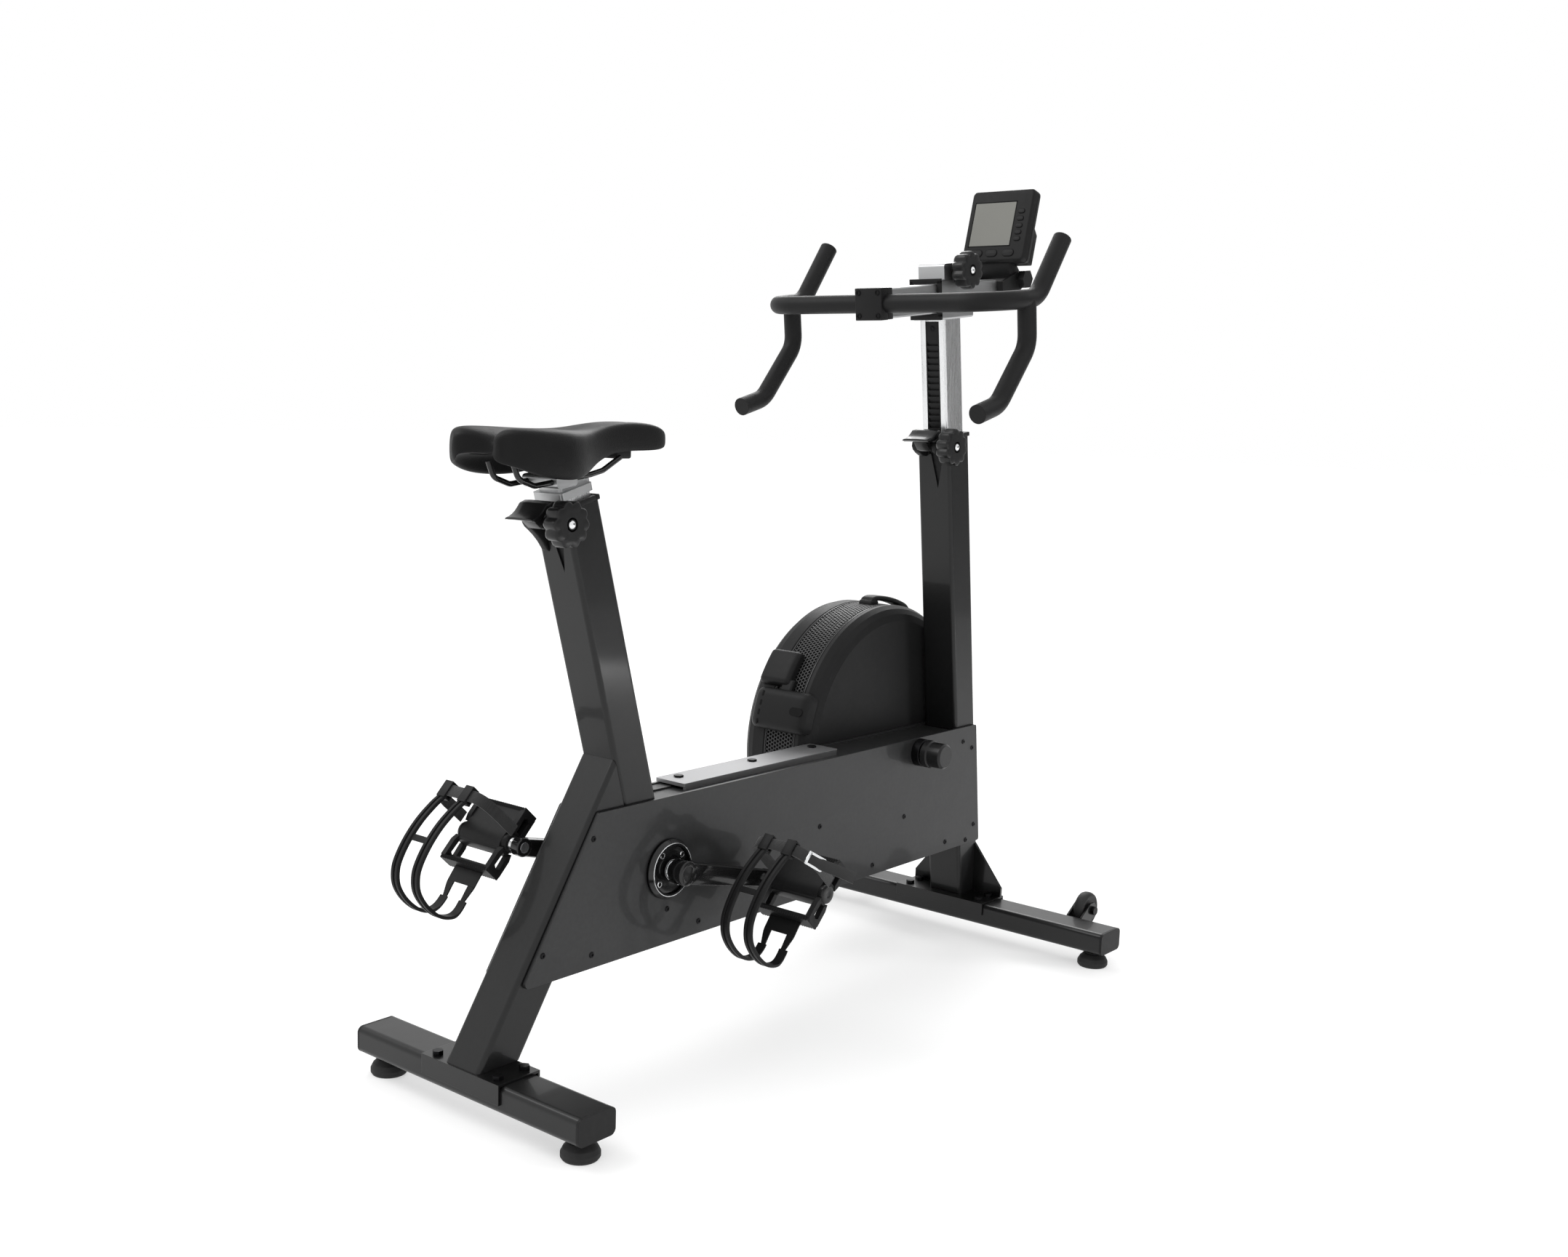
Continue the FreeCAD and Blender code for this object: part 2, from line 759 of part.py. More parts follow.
crank_pulley = [(S.spindle_radius, -27.3), (24, -27.3), (24, -20), (68, -20), (68, S.belt_right)]
crank_pulley += [(S.crank_pulley_radius, S.belt_right), (S.crank_pulley_radius, S.belt_left), (68, S.belt_left)]
crank_pulley += [(68, -16), (24, -16), (24, -8), (S.spindle_radius, -8)]
pulley = turned(crank_pulley)
window_sketch = new_sketch(pulley, "XZ_Plane")
draw_circle(window_sketch, 46, 0, 15)
window = pocket(pulley, window_sketch, 80)
pattern(pulley, window, window_sketch, 5)
spindle = rod("y", (0, -60, 0), S.spindle_radius, 120)
node("crank_spindle", fuse(spindle, pulley), CRANK)


def crank_arm(side):
    """A tapered arm with a boss on the spindle and an eye for the pedal axle."""
    long = S.crank_long
    thick = S.arm_outer - S.arm_inner
    body = new_body()
    shape = new_sketch(body, "XZ_Plane")
    draw_outline(shape, [(0, -14), (long, -12), (long, 12), (0, 14)])
    pad(body, shape, thick)
    middle = side * (S.arm_inner + thick / 2)
    bar = stand(body, 0, middle, 0)
    eye = rod("y", (long, middle - thick / 2, 0), 13.0, thick)
    boss_start = S.arm_outer - 25 if side > 0 else -S.arm_outer
    boss = rod("y", (0, boss_start, 0), 17.0, 25)
    spindle_hole = rod("y", (0, -60 if side < 0 else 40, 0), S.spindle_radius, 20)
    axle_hole = rod("y", (long, middle - 40, 0), S.pedal_axle_radius, 80)
    return cut(fuse(bar, eye, boss), spindle_hole, axle_hole)


def turned_frame(frame, turn):
    return frame.multiply(Placement(Vector(), Rotation(TURN_Y, turn)))


RIGHT_ARM = turned_frame(CRANK, DRIVING["crank_turn"])
LEFT_ARM = turned_frame(CRANK, DRIVING["crank_turn"] + 180)
node("crank_arm_right", crank_arm(-1), RIGHT_ARM)
node("crank_arm_left", crank_arm(1), LEFT_ARM)


def pedal_axle(side):
    x = side * -S.crank_long
    end = S.pedal_y + S.pedal_wide / 2 - S.pedal_axle_inset
    start = S.arm_inner if side > 0 else -end
    stub = rod("y", (x, start, 0), S.pedal_axle_radius, end - S.arm_inner)
    collar_start = S.arm_outer if side > 0 else -S.arm_outer - 6
    return fuse(stub, rod("y", (x, collar_start, 0), 10.0, 6))


node("pedal_axles", group(pedal_axle(-1), pedal_axle(1)), RIGHT_ARM)


def pedal():
    """The platform: a barrel in an open frame with toothed front and rear edges."""
    half_x = S.pedal_long / 2
    half_y = S.pedal_wide / 2
    half_z = S.pedal_tall / 2
    frame = softened(box((-half_x, half_x), (-half_y, half_y), (-half_z, half_z)), 5.0, "y")
    teeth = []
    for count in range(6):
        y = -37.5 + 15 * count
        for x in (-half_x, half_x):
            for z in (-half_z, half_z):
                teeth.append(rod("x", (x - 6, y, z), 3.0, 12))
    windows = [box((low, low + 22), (-36, 36), (-FAR, FAR)) for low in (-38, 16)]
    barrel = rod("y", (0, -half_y, 0), 13.0, S.pedal_wide)
    bore = rod("y", (0, -half_y - 1, 0), S.pedal_axle_radius + S.running_gap, S.pedal_wide + 2)
    return cut(fuse(cut(frame, *windows, *teeth), barrel), bore)


def clip_line(offset):
    """The toe clip's side profile, offset outwards: a sole run, a toe arc and a top run."""
    toe_low = Vector(-98, -5 - offset, 0)
    toe_tip = Vector(-124.5 - offset, 40, 0)
    toe_high = Vector(-96, 84 + offset, 0)
    crest = Vector(-45, 92 + offset, 0)
    tail = Vector(24, 82.6 + offset, 0)
    start = Vector(-49, 1 - offset, 0)
    return [
        Part.LineSegment(start, toe_low),
        Part.Arc(toe_low, toe_tip, toe_high),
        Part.Arc(toe_high, crest, tail),
    ]


def toe_clip():
    """A bent strap of plastic over the toe, with two windows between its ribs."""
    body = new_body()
    side = new_sketch(body, "XZ_Plane")
    inner = clip_line(0.0)
    outer = clip_line(3.5)
    closers = [
        Part.LineSegment(inner[2].EndPoint, outer[2].EndPoint),
        Part.LineSegment(inner[0].StartPoint, outer[0].StartPoint),
    ]
    side.addGeometry(inner + outer + closers, False)
    side.detectMissingPointOnPointConstraints(0.001)
    side.makeMissingPointOnPointCoincident()
    pad(body, side, 54.0)
    top = new_sketch(body, "XY_Plane")
    draw_outline(top, [(-112, -14), (-66, -14), (-66, 14), (-112, 14)])
    draw_outline(top, [(-54, -14), (-12, -14), (-12, 14), (-54, 14)])
    pocket(body, top, FAR)
    return body


def toe_strap():
    """The flat strap over the clip, down behind the axle to both sides of the pedal."""
    outer = [(-52, -8), (-52, 46), (-47, 70), (-38, 86), (-29, 94.5)]
    outer += [(29, 94.5), (38, 86), (47, 70), (52, 46), (52, -8)]
    inner = [(49.5, -8), (49.5, 45), (44.7, 68.8), (36, 84.3), (28, 92)]
    inner += [(-28, 92), (-36, 84.3), (-44.7, 68.8), (-49.5, 45), (-49.5, -8)]
    body = slab("x", 18.0, outer + inner)
    return stand(body, 19.8, 0, 0)


for name, arm, side in (("right", RIGHT_ARM, -1), ("left", LEFT_ARM, 1)):
    eye = arm.multiply(Placement(Vector(DRIVING["crank_long"], side * DRIVING["pedal_y"], 0), Rotation()))
    pedal_frame = Placement(eye.Base, Rotation(TURN_Y, DRIVING["pedal_turn"]))
    node(f"pedal_{name}", pedal(), pedal_frame)
    node(f"toe_clip_{name}", toe_clip(), pedal_frame)
    node(f"toe_strap_{name}", toe_strap(), pedal_frame)


def belt():
    """A flat belt: two tangent runs and two wrapped arcs, inside and outside."""
    span_x = number(S.fan_x - S.crank_x)
    span_z = number(S.fan_z - S.crank_z)
    span = math.hypot(span_x, span_z)
    lean = math.asin(number(S.crank_pulley_radius - S.fan_pulley_radius) / span)

    def loop(extra):
        big = number(S.crank_pulley_radius) + extra
        small = number(S.fan_pulley_radius) + extra
        body = new_body()
        sketch = new_sketch(body, "XZ_Plane")
        up = Vector(math.sin(lean), math.cos(lean), 0)
        down = Vector(math.sin(lean), -math.cos(lean), 0)
        far_end = Vector(span, 0, 0)
        sketch.addGeometry([
            Part.LineSegment(up * big, far_end + up * small),
            Part.Arc(far_end + up * small, far_end + Vector(small, 0, 0), far_end + down * small),
            Part.LineSegment(far_end + down * small, down * big),
            Part.Arc(down * big, Vector(-big, 0, 0), up * big),
        ], False)
        sketch.detectMissingPointOnPointConstraints(0.001)
        sketch.makeMissingPointOnPointCoincident()
        pad(body, sketch, S.belt_left - S.belt_right + (0 if extra > 1 else 4))
        return body

    gap = number(S.running_gap)
    made = cut(loop(gap + number(S.belt_thick)), loop(gap))
    tilt = math.degrees(math.atan2(span_z, span_x))
    middle = (S.belt_left + S.belt_right) / 2
    return stand(made, S.crank_x, middle, S.crank_z, Rotation(TURN_Y, -tilt))


node("drive_belt", belt())


# ---------------------------------------------------------------- fan

rim = S.fan_radius
skin = S.fan_skin
near = S.fan_near
far = S.fan_far
hub_hole = 16.0
inner_shell = [(hub_hole, near), (rim - 24, near), (rim - 13, near + 3), (rim - 5, near + 9), (rim, S.mesh_near - 6)]
inner_shell += [(rim, S.mesh_near), (rim - skin, S.mesh_near), (rim - skin, S.mesh_near - 5)]
inner_shell += [(rim - 7, near + 11), (rim - 14, near + 5.5), (rim - 24, near + skin), (hub_hole, near + skin)]
node("fan_shell_inner", turned(inner_shell), FAN)
outer_shell = [(rim, S.mesh_far), (rim, far - 25), (rim - 3, far - 14), (rim - 10, far - 5), (rim - 24, far)]
outer_shell += [(0, far), (0, far - skin), (rim - 25, far - skin), (rim - 12, far - 7), (rim - 5.5, far - 15)]
outer_shell += [(rim - skin, far - 25), (rim - skin, S.mesh_far)]
node("fan_shell_outer", turned(outer_shell), FAN)
node("fan_mesh_band", turned([
    (rim - 2, S.mesh_near), (rim, S.mesh_near), (rim, S.mesh_far), (rim - 2, S.mesh_far),
]), FAN)
grip = arc_block(rim, rim + 22, 64, 91, 82, 104)
grip_slot = arc_block(rim + 6, rim + 15, 68, 87, 80, 106)
node("fan_handle", group(
    cut(grip, grip_slot),
    arc_block(rim, rim + 11, 140, 159, S.mesh_near, S.mesh_far),
    arc_block(rim, rim + 14, 125, 138, 93, S.mesh_far),
), FAN)

fan_hub = turned([
    (S.fan_axle_radius, 64), (22, 64), (22, 90), (66, 90),
    (66, 94), (22, 94), (22, 120), (S.fan_axle_radius, 120),
])
blade = new_sketch(fan_hub, "XZ_Plane")
draw_outline(blade, [(18, -1.5), (200, -1.5), (200, 1.5), (18, 1.5)])
blade_pad = fan_hub.newObject("PartDesign::Pad", "Blade")
blade_pad.Profile = blade
blade_pad.Length = 118.0
blade_pad.Reversed = True
pattern(fan_hub, blade_pad, blade, 16)
fan_slice = box((-FAR, FAR), (68, 118), (-FAR, FAR))
fan_core = turned([
    (S.fan_axle_radius, 64), (22, 64), (22, 120), (S.fan_axle_radius, 120),
])
fan_bore = rod("y", (0, -10, 0), S.fan_axle_radius, 200)
node("fan_wheel", fuse(cut(common(fan_hub, fan_slice), fan_bore), fan_core), FAN)
axle = S.fan_axle_radius
pulley_r = S.fan_pulley_radius
node("fan_axle", turned([
    (0, -30.5), (axle, -30.5), (axle, -27.9), (12.4, -27.9), (12.4, -26.4), (pulley_r, -26.4),
    (pulley_r, -9.6), (12.4, -9.6), (12.4, -8.1), (axle, -8.1), (axle, 124), (0, 124),
]), FAN)


# ---------------------------------------------------------------- clamps and latches

def lobed_knob(side=-1):
    """A ten-lobed hand knob on its bolt, turned about Y."""
    inner = side * S.knob_inner
    outer = side * S.knob_outer
    rim_r = S.knob_radius
    low, high = (outer, inner) if side < 0 else (inner, outer)
    profile = [(0, low), (rim_r - 3, low), (rim_r, low + 3)]
    profile += [(rim_r, high - 5), (rim_r - 6, high), (0, high)]
    body = turned(profile)
    notch = new_sketch(body, "XZ_Plane")
    draw_circle(notch, rim_r + 2.2, 0, 6.4)
    scoop = pocket(body, notch, 300)
    pattern(body, scoop, notch, 10)
    return body


def knob_with_bolt(reach):
    bolt = rod("y", (0, -S.knob_inner - 2, 0), S.knob_bolt_radius, S.knob_inner + 2 + reach)
    shoulder = rod("y", (0, -S.knob_inner - 0.5, 0), 9.0, 6.5)
    return fuse(lobed_knob(), bolt, shoulder)


CHEEK_IN = 12.6
CHEEK_OUT = 24.0
LATCH_X = -46.5


def latch_housing(wide, deep, top, axis_s):
    """The bush in an upright's mouth, its collar, and the two cheeks behind that hold the lever."""
    gap = S.slide_gap
    bush_x = deep / 2 - WALL - 0.05
    bush_y = wide / 2 - WALL - 0.05
    bush = box((-bush_x, bush_x), (-bush_y, bush_y), (top - 120, top))
    half_x = deep / 2 + 1
    half_y = wide / 2 + 1
    flange = softened(box((-half_x, half_x), (-half_y, half_y), (top, top + 7)), 6.0, "z")
    back = -deep / 2
    outline = [(back, axis_s - 20), (LATCH_X, axis_s - 12), (LATCH_X - 9, axis_s)]
    outline += [(LATCH_X - 4, axis_s + 9), (back, top + 7)]
    cheeks = []
    for side in (-1, 1):
        cheek = plate(outline, CHEEK_OUT - CHEEK_IN)
        cheeks.append(stand(cheek, 0, side * (CHEEK_OUT + CHEEK_IN) / 2, 0))
    solid = fuse(bush, flange, *cheeks)
    post_x = S.post_deep / 2 + gap
    post_y = S.post_wide / 2 + gap
    passage = box((-post_x, post_x), (-post_y, post_y), (top - 130, top + 20))
    pivot = rod("y", (LATCH_X, -40, axis_s), S.knob_bolt_radius + S.running_gap, 80)
    return cut(solid, passage, pivot, latch_window(top))


def latch_lever():
    """A cam lever: a hub and arm between the cheeks, and a wide paddle behind them."""
    hub = rod("y", (0, -12.4, 0), 9.0, 24.8)
    arm = plate([(-4, 6), (-15, 13), (-22, 15), (-22, 10), (-15, 4), (-6, -6)], 24.8)
    paddle = plate([(-13, 12), (-24, 16), (-31, 17.5), (-31.5, 14.5), (-24, 12), (-13, 7)], 50.0)
    bore = rod("y", (0, -30, 0), S.knob_bolt_radius + S.lever_clearance, 60)
    return cut(fuse(hub, arm, paddle), bore)


def rack_post(length, top):
    """A square post with a toothed rack cut into its rear face."""
    body = tube("z", S.post_deep, S.post_wide, length, 4.0, WALL)
    post = stand(body, 0, 0, top - length / 2)
    face = -S.post_deep / 2
    slots = []
    count = int((number(length) - 60) // 10)
    for step in range(count):
        low = top - 30 - 10 * step
        slots.append(box((face - 1, face + 1.6), (-12.5, 12.5), (low, low + 5)))
    return cut(post, *slots)


for name, frame, wide, deep, top, axis_s in (
    ("seat", SEAT, S.leg_wide, S.leg_deep, S.seat_tube_top, S.seat_tube_top - 7.5),
    ("mast", MAST, S.mast_wide, S.mast_deep, S.mast_long, S.mast_long - 8.8),
):
    pivot_frame = frame.multiply(Placement(Vector(LATCH_X, 0, number(axis_s)), Rotation()))
    node(f"{name}_latch_housing", latch_housing(wide, deep, top, axis_s), frame)
    node(f"{name}_lever", latch_lever(), pivot_frame)
    node(f"{name}_knob", knob_with_bolt(26), pivot_frame)


# ---------------------------------------------------------------- seat

SEAT_HEAD = 401.0
RAIL_AT = (100.0, 777.0)
RAIL_TURN = -7.9
node("seat_post", rack_post(S.seat_post_long, Size(SEAT_HEAD, str(SEAT_HEAD))), SEAT)

RAILS = frame_at(RAIL_AT[0], 0, RAIL_AT[1], RAIL_TURN)
flange = softened(box((-27, 27), (-26, 26), (SEAT_HEAD, 411)), 4.0, "z")
head = softened(box((-22, 30), (-20, 20), (410, 418)), 4.0, "z")
seat_head = in_frame(fuse(flange, head), SEAT)
cradle = in_frame(softened(box((-14, 20), (-31, 31), (-8, 8)), 5.0, "y"), RAILS)
rail_bore = S.rail_radius + S.running_gap
bores = [in_frame(rod("x", (-60, side * S.rail_y, 0), rail_bore, 120), RAILS) for side in (-1, 1)]
node("saddle_clamp", cut(fuse(seat_head, cradle), *bores), Placement())


def saddle_rail(side):
    """One rail, from the nose socket to the rear socket, straight where the clamp holds it."""
    y = side * DRIVING["rail_y"]
    path = [(104, y, 14), (72, y, 2), (50, y, 0), (-42, y, 0), (-66, y, 12), (-72, y, 33)]
    return bent_rod(path, [20, 30, 14, 14], S.rail_radius)


node("saddle_rails", group(saddle_rail(-1), saddle_rail(1)), RAILS)


def saddle():
    """The padded saddle: its side view and its plan, over a hollow for the rails."""
    side_view = new_body()
    view = new_sketch(side_view, "XZ_Plane")
    draw_outline(view, [
        (-15, 800), (-14, 826), (10, 836), (60, 840), (155, 843), (200, 849), (244, 849), (278, 840),
        (289, 828), (284, 818), (250, 813), (204, 813), (173, 804), (150, 790),
        (136, 781), (60, 781), (20, 788),
    ])
    pad(side_view, view, S.saddle_wide)
    plan = new_body()
    above = new_sketch(plan, "XY_Plane")
    half = S.saddle_wide / 2
    outline = [(10, 0), (2, 15), (-10, 27), (-15, 42), (0, 66), (28, half - 2)]
    outline += [(70, half), (110, 66), (150, 42)]
    outline += [(200, 29), (255, 24), (282, 15)]
    mirrored = [(x, -y) for x, y in reversed(outline[1:])]
    draw_outline(above, outline + mirrored)
    pad(plan, above, 2000.0)
    hollow = box((14, 176), (-34, 34), (760, 806))
    tail = box((-20, 15), (-34, 34), (760, 798))
    return cut(common(side_view, plan), hollow, tail)


node("saddle", saddle())


# ---------------------------------------------------------------- handlebar

node("handlebar_post", rack_post(S.bar_post_long, S.bar_post_top), MAST)

half_w = S.stem_wide / 2
half_t = S.stem_tall / 2
mid = S.stem_mid
tunnel = box((-FAR, FAR), (-half_w - S.slide_gap, half_w + S.slide_gap),
             (mid - half_t - S.slide_gap, mid + half_t + S.slide_gap))
collar_block = softened(box((-36, 52), (-28, 28), (S.bar_post_top, 1027)), 4.0, "x")
collar_frame = box((-39, -36), (-29, 29), (965, 1027.5))
hump = softened(box((-25, 35), (-26.5, 22), (1024, 1050)), 5.0, "y")
KNOB_AT = (8.0, 1038.0)
stem_pivot = rod("y", (KNOB_AT[0], -60, KNOB_AT[1]), S.knob_bolt_radius + S.running_gap, 120)
node("stem_collar", cut(fuse(collar_block, collar_frame, hump), tunnel, stem_pivot), MAST)
stem_knob_frame = MAST.multiply(Placement(Vector(KNOB_AT[0], 0, KNOB_AT[1]), Rotation()))
node("stem_knob", knob_with_bolt(18), stem_knob_frame)

bar_seat = rod("y", (S.stem_rear, -60, mid), S.bar_radius, 120)
stem_bar = box((S.stem_rear, S.stem_front), (-half_w, half_w), (mid - half_t, mid + half_t))
stem_outer = softened(stem_bar, 3.0, "x")
stem_bore_y = half_w - WALL
stem_bore_s = half_t - WALL
stem_inner = box((S.stem_rear + 24, S.stem_front + 10), (-stem_bore_y, stem_bore_y),
                 (mid - stem_bore_s, mid + stem_bore_s))
node("stem", cut(stem_outer, stem_inner, bar_seat), MAST)
cap_block = softened(box((-190, S.stem_rear), (-24.6, 24.6), (mid - 24, mid + 24)), 3.0, "x")
cap_screws = []
for y in (-12.15, 12.15):
    for s in (-17.2, 17.2):
        cap_screws.append(rod("x", (-193, y, mid + s), 4.5, 4))
node("bar_clamp", fuse(cut(cap_block, bar_seat), *cap_screws), MAST)

rear_x = DRIVING["stem_rear"]
bar_s = DRIVING["stem_mid"]
wide_y = DRIVING["bar_half"]


def horn_bar(radius, extra):
    """The cross bar, swept forwards at each end and up into a horn."""
    side = [(2.3 + 0.674 * extra, 1080 + 0.738 * extra), (-73.5, bar_s), (rear_x, bar_s)]
    right = [(x, -wide_y, s) for x, s in side]
    left = [(x, wide_y, s) for x, s in reversed(side)]
    return bent_rod(right + left, [45, 62, 62, 45], radius)


def drop_bar(y, radius, extra):
    """A lower grip, welded under the bar and swept down and back."""
    points = [(-100.4, y, bar_s), (-100.4, y, 929.9), (-183.3, y, 852.0)]
    points += [(-236.8 - extra, y, 844.0 - extra * 0.15)]
    return bent_rod(points, [40, 45], radius)


def bar_set(radius, extra):
    return fuse(horn_bar(radius, extra), drop_bar(-wide_y, radius, extra), drop_bar(wide_y, radius, extra))


node("handlebar", cut(bar_set(S.bar_radius, 0), bar_set(S.bar_radius - S.bar_wall, -6)), MAST)


# ---------------------------------------------------------------- console

CONSOLE = frame_at(1071, 0, 1121, 14.04)
HINGE_LOCAL = (47.1, -15.4)
SIDE_BUTTONS = [83.7, 71.4, 59.3, 48.2, 37.2]
BASE_BUTTONS = [31.1, 2.6, -29.2]
BUTTONS = {}
for count, up in enumerate(SIDE_BUTTONS, start=1):
    BUTTONS[f"side_button_{count}"] = (-41.0, up, 12.0, 7.0)
for count, across in enumerate(BASE_BUTTONS, start=1):
    BUTTONS[f"base_button_{count}"] = (across, 13.9, 21.0, 11.5)

half_c = S.console_wide / 2
case_block = plate([
    (0, 0), (S.console_box_deep, 0), (S.console_box_deep, 54), (S.console_deep, 62),
    (S.console_deep, S.console_tall), (0, S.console_tall),
], S.console_wide)
case_side = softened(case_block, 4.0, "x")
screen_hole = box((-1, 2.5), (-28.2, 49.3), (27, 100))
wells = []
for across, up, wide, tall in BUTTONS.values():
    reach_y = S.button_gap + wide / 2
    reach_z = S.button_gap + tall / 2
    wells.append(box((-1, 7), (across - reach_y, across + reach_y), (up - reach_z, up + reach_z)))
cavity = box((9, S.console_deep - 2.5), (-half_c + 3, half_c - 3), (4, S.console_tall - 4))
neck = box((8, S.console_box_deep + 10), (-30, 30), (-24, 2))
barrel = rod("y", (HINGE_LOCAL[0], -30, HINGE_LOCAL[1]), 13.0, 60)
pin_hole = rod("y", (HINGE_LOCAL[0], -60, HINGE_LOCAL[1]), 4.05, 120)
case = cut(fuse(case_side, neck, barrel), screen_hole, cavity, pin_hole, *wells)
node("console_case", case, CONSOLE)
node("console_screen", box((0.4, 2.4), (-28.1, 49.2), (27.1, 99.9)), CONSOLE)
for name, (across, up, wide, tall) in BUTTONS.items():
    key_y = (across - wide / 2, across + wide / 2)
    key_z = (up - tall / 2, up + tall / 2)
    key = softened(box((-1.6, 4.5), key_y, key_z), 2.0, "x")
    node(name, key, CONSOLE)

hinge = MAST.inverse().multVec(CONSOLE.multVec(Vector(HINGE_LOCAL[0], 0, HINGE_LOCAL[1])))
hinge_x = hinge.x
hinge_s = hinge.z
ear_outline = [(132, 978), (170, 990), (201, 1008), (201, 1026), (184, 1030), (132, 1016)]
ears = []
for side in (-1, 1):
    ear = plate(ear_outline, 3.9, 6.0, [(hinge_x, hinge_s, 4.0)])
    ears.append(stand(ear, 0, side * 32.1, 0))
cross = box((S.stem_front, S.stem_front + 4), (-34, 34), (978, 1016))
pin = rod("y", (hinge_x, -44, hinge_s), 4.0, 84)
hex_cap = doc.addObject("Part::Prism", "HexCap")
hex_cap.Polygon = 6
hex_cap.Circumradius = 15.8
hex_cap.Height = 12
stand(hex_cap, hinge_x, -46.1, hinge_s, ALONG["y"])
nut = rod("y", (hinge_x, 34.05, hinge_s), 10.0, 6)
node("console_bracket", fuse(cross, *ears, pin, hex_cap, nut), MAST)


# ---------------------------------------------------------------- writing

doc.recompute()
for thing in doc.Objects:
    if "Invalid" in thing.State or "Error" in thing.State:
        raise RuntimeError(f"{thing.Name} ({thing.Label}) failed: {thing.State}")
os.makedirs("parts", exist_ok=True)
for name, thing in nodes.items():
    if thing.Shape.isNull() or not thing.Shape.isValid() or not thing.Shape.Solids:
        raise RuntimeError(f"{name} has no valid solid")
    thing.Shape.exportStep(f"parts/{name}.step")
    bounds = thing.Shape.BoundBox
    spans = " ".join(f"{low:.1f}..{high:.1f}" for low, high in (
        (bounds.XMin, bounds.XMax), (bounds.YMin, bounds.YMax), (bounds.ZMin, bounds.ZMax),
    ))
    print(f"{name}: {len(thing.Shape.Solids)} solids, {spans}, {thing.Shape.Volume / 1000:.1f} cm3")
print(f"{len(nodes)} nodes")
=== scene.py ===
import json
import math

import bmesh
import bpy
from mathutils import Matrix, Vector


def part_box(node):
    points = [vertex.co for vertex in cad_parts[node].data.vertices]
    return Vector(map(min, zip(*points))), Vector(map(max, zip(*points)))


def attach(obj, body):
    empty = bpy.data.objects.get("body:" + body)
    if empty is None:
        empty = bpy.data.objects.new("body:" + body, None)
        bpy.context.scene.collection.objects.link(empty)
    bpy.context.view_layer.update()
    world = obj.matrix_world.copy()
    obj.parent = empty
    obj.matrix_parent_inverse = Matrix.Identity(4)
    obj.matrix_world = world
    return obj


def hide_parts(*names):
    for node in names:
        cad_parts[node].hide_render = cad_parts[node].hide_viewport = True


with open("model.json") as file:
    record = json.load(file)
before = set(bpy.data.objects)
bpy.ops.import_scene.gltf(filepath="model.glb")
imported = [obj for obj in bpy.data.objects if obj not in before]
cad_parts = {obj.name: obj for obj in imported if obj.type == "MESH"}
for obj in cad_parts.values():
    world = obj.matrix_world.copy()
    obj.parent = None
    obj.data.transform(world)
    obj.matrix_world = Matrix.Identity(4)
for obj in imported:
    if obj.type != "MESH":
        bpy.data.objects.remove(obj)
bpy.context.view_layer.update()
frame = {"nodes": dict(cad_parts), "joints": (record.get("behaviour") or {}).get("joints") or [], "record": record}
MM = 0.001
JOINTS = {joint["name"]: joint for joint in frame["joints"]}


# ---- frames of the bike

class Place:
    """A local frame on the bike: x forwards, y to the rider's left, z along its own axis."""

    def __init__(self, origin, upwards):
        self.origin = Vector(origin)
        self.z = Vector(upwards).normalized()
        self.y = Vector((0, 1, 0))
        self.x = self.y.cross(self.z).normalized()

    def __call__(self, x, y, z):
        """A point of this frame, given in millimetres, in the row frame in metres."""
        return self.origin + (self.x * x + self.y * y + self.z * z) * MM

    def round(self, radius, turn, y):
        """A point at a radius and an angle about this frame's y axis."""
        return self(radius * math.cos(turn), y, radius * math.sin(turn))


def joint_at(name):
    return Vector(JOINTS[name]["pos_m"])


def leaning(angle):
    lean = math.radians(angle)
    return Vector((math.sin(lean), 0, math.cos(lean)))


MAST_UP = Vector(JOINTS["handlebar_height"]["axis"])
SEAT_UP = Vector(JOINTS["seat_height"]["axis"])
MAST_PIVOT = Place(joint_at("mast_knob_turn"), MAST_UP)
SEAT_PIVOT = Place(joint_at("seat_knob_turn"), SEAT_UP)
LATCH_X = 46.5
KNOB_Y = 45
SEAT_LATCH = 381.0
MAST_LATCH = 768.0
MAST = Place(MAST_PIVOT(LATCH_X, KNOB_Y, -MAST_LATCH), MAST_UP)
SEAT = Place(SEAT_PIVOT(LATCH_X, KNOB_Y, -SEAT_LATCH), SEAT_UP)
STEM_AXIS = Place(joint_at("stem_knob_turn") + Vector((0, KNOB_Y * MM, 0)), MAST_UP)
MAST_AXIS = Place(joint_at("mast_lever_lift"), MAST_UP)
SEAT_AXIS = Place(joint_at("seat_lever_lift"), SEAT_UP)
CRANK = Place(joint_at("crank_spin"), (0, 0, 1))
FAN = Place(joint_at("fan_spin"), (0, 0, 1))
HINGE_X = 47.1
HINGE_Z = -15.4
CONSOLE_UP = leaning(14.04)
CONSOLE = Place(Place(joint_at("console_tilt"), CONSOLE_UP)(-HINGE_X, 0, -HINGE_Z), CONSOLE_UP)
SIDES = (("right", -1), ("left", 1))
PEDALS = {side: Place(joint_at(f"{side}_pedal_spin"), leaning(-46.2)) for side, _ in SIDES}
SEAT_FOOT = 236.3
BIKE = Place((SEAT.origin.x - SEAT_FOOT * MM, 0, 0), (0, 0, 1))


# ---- materials

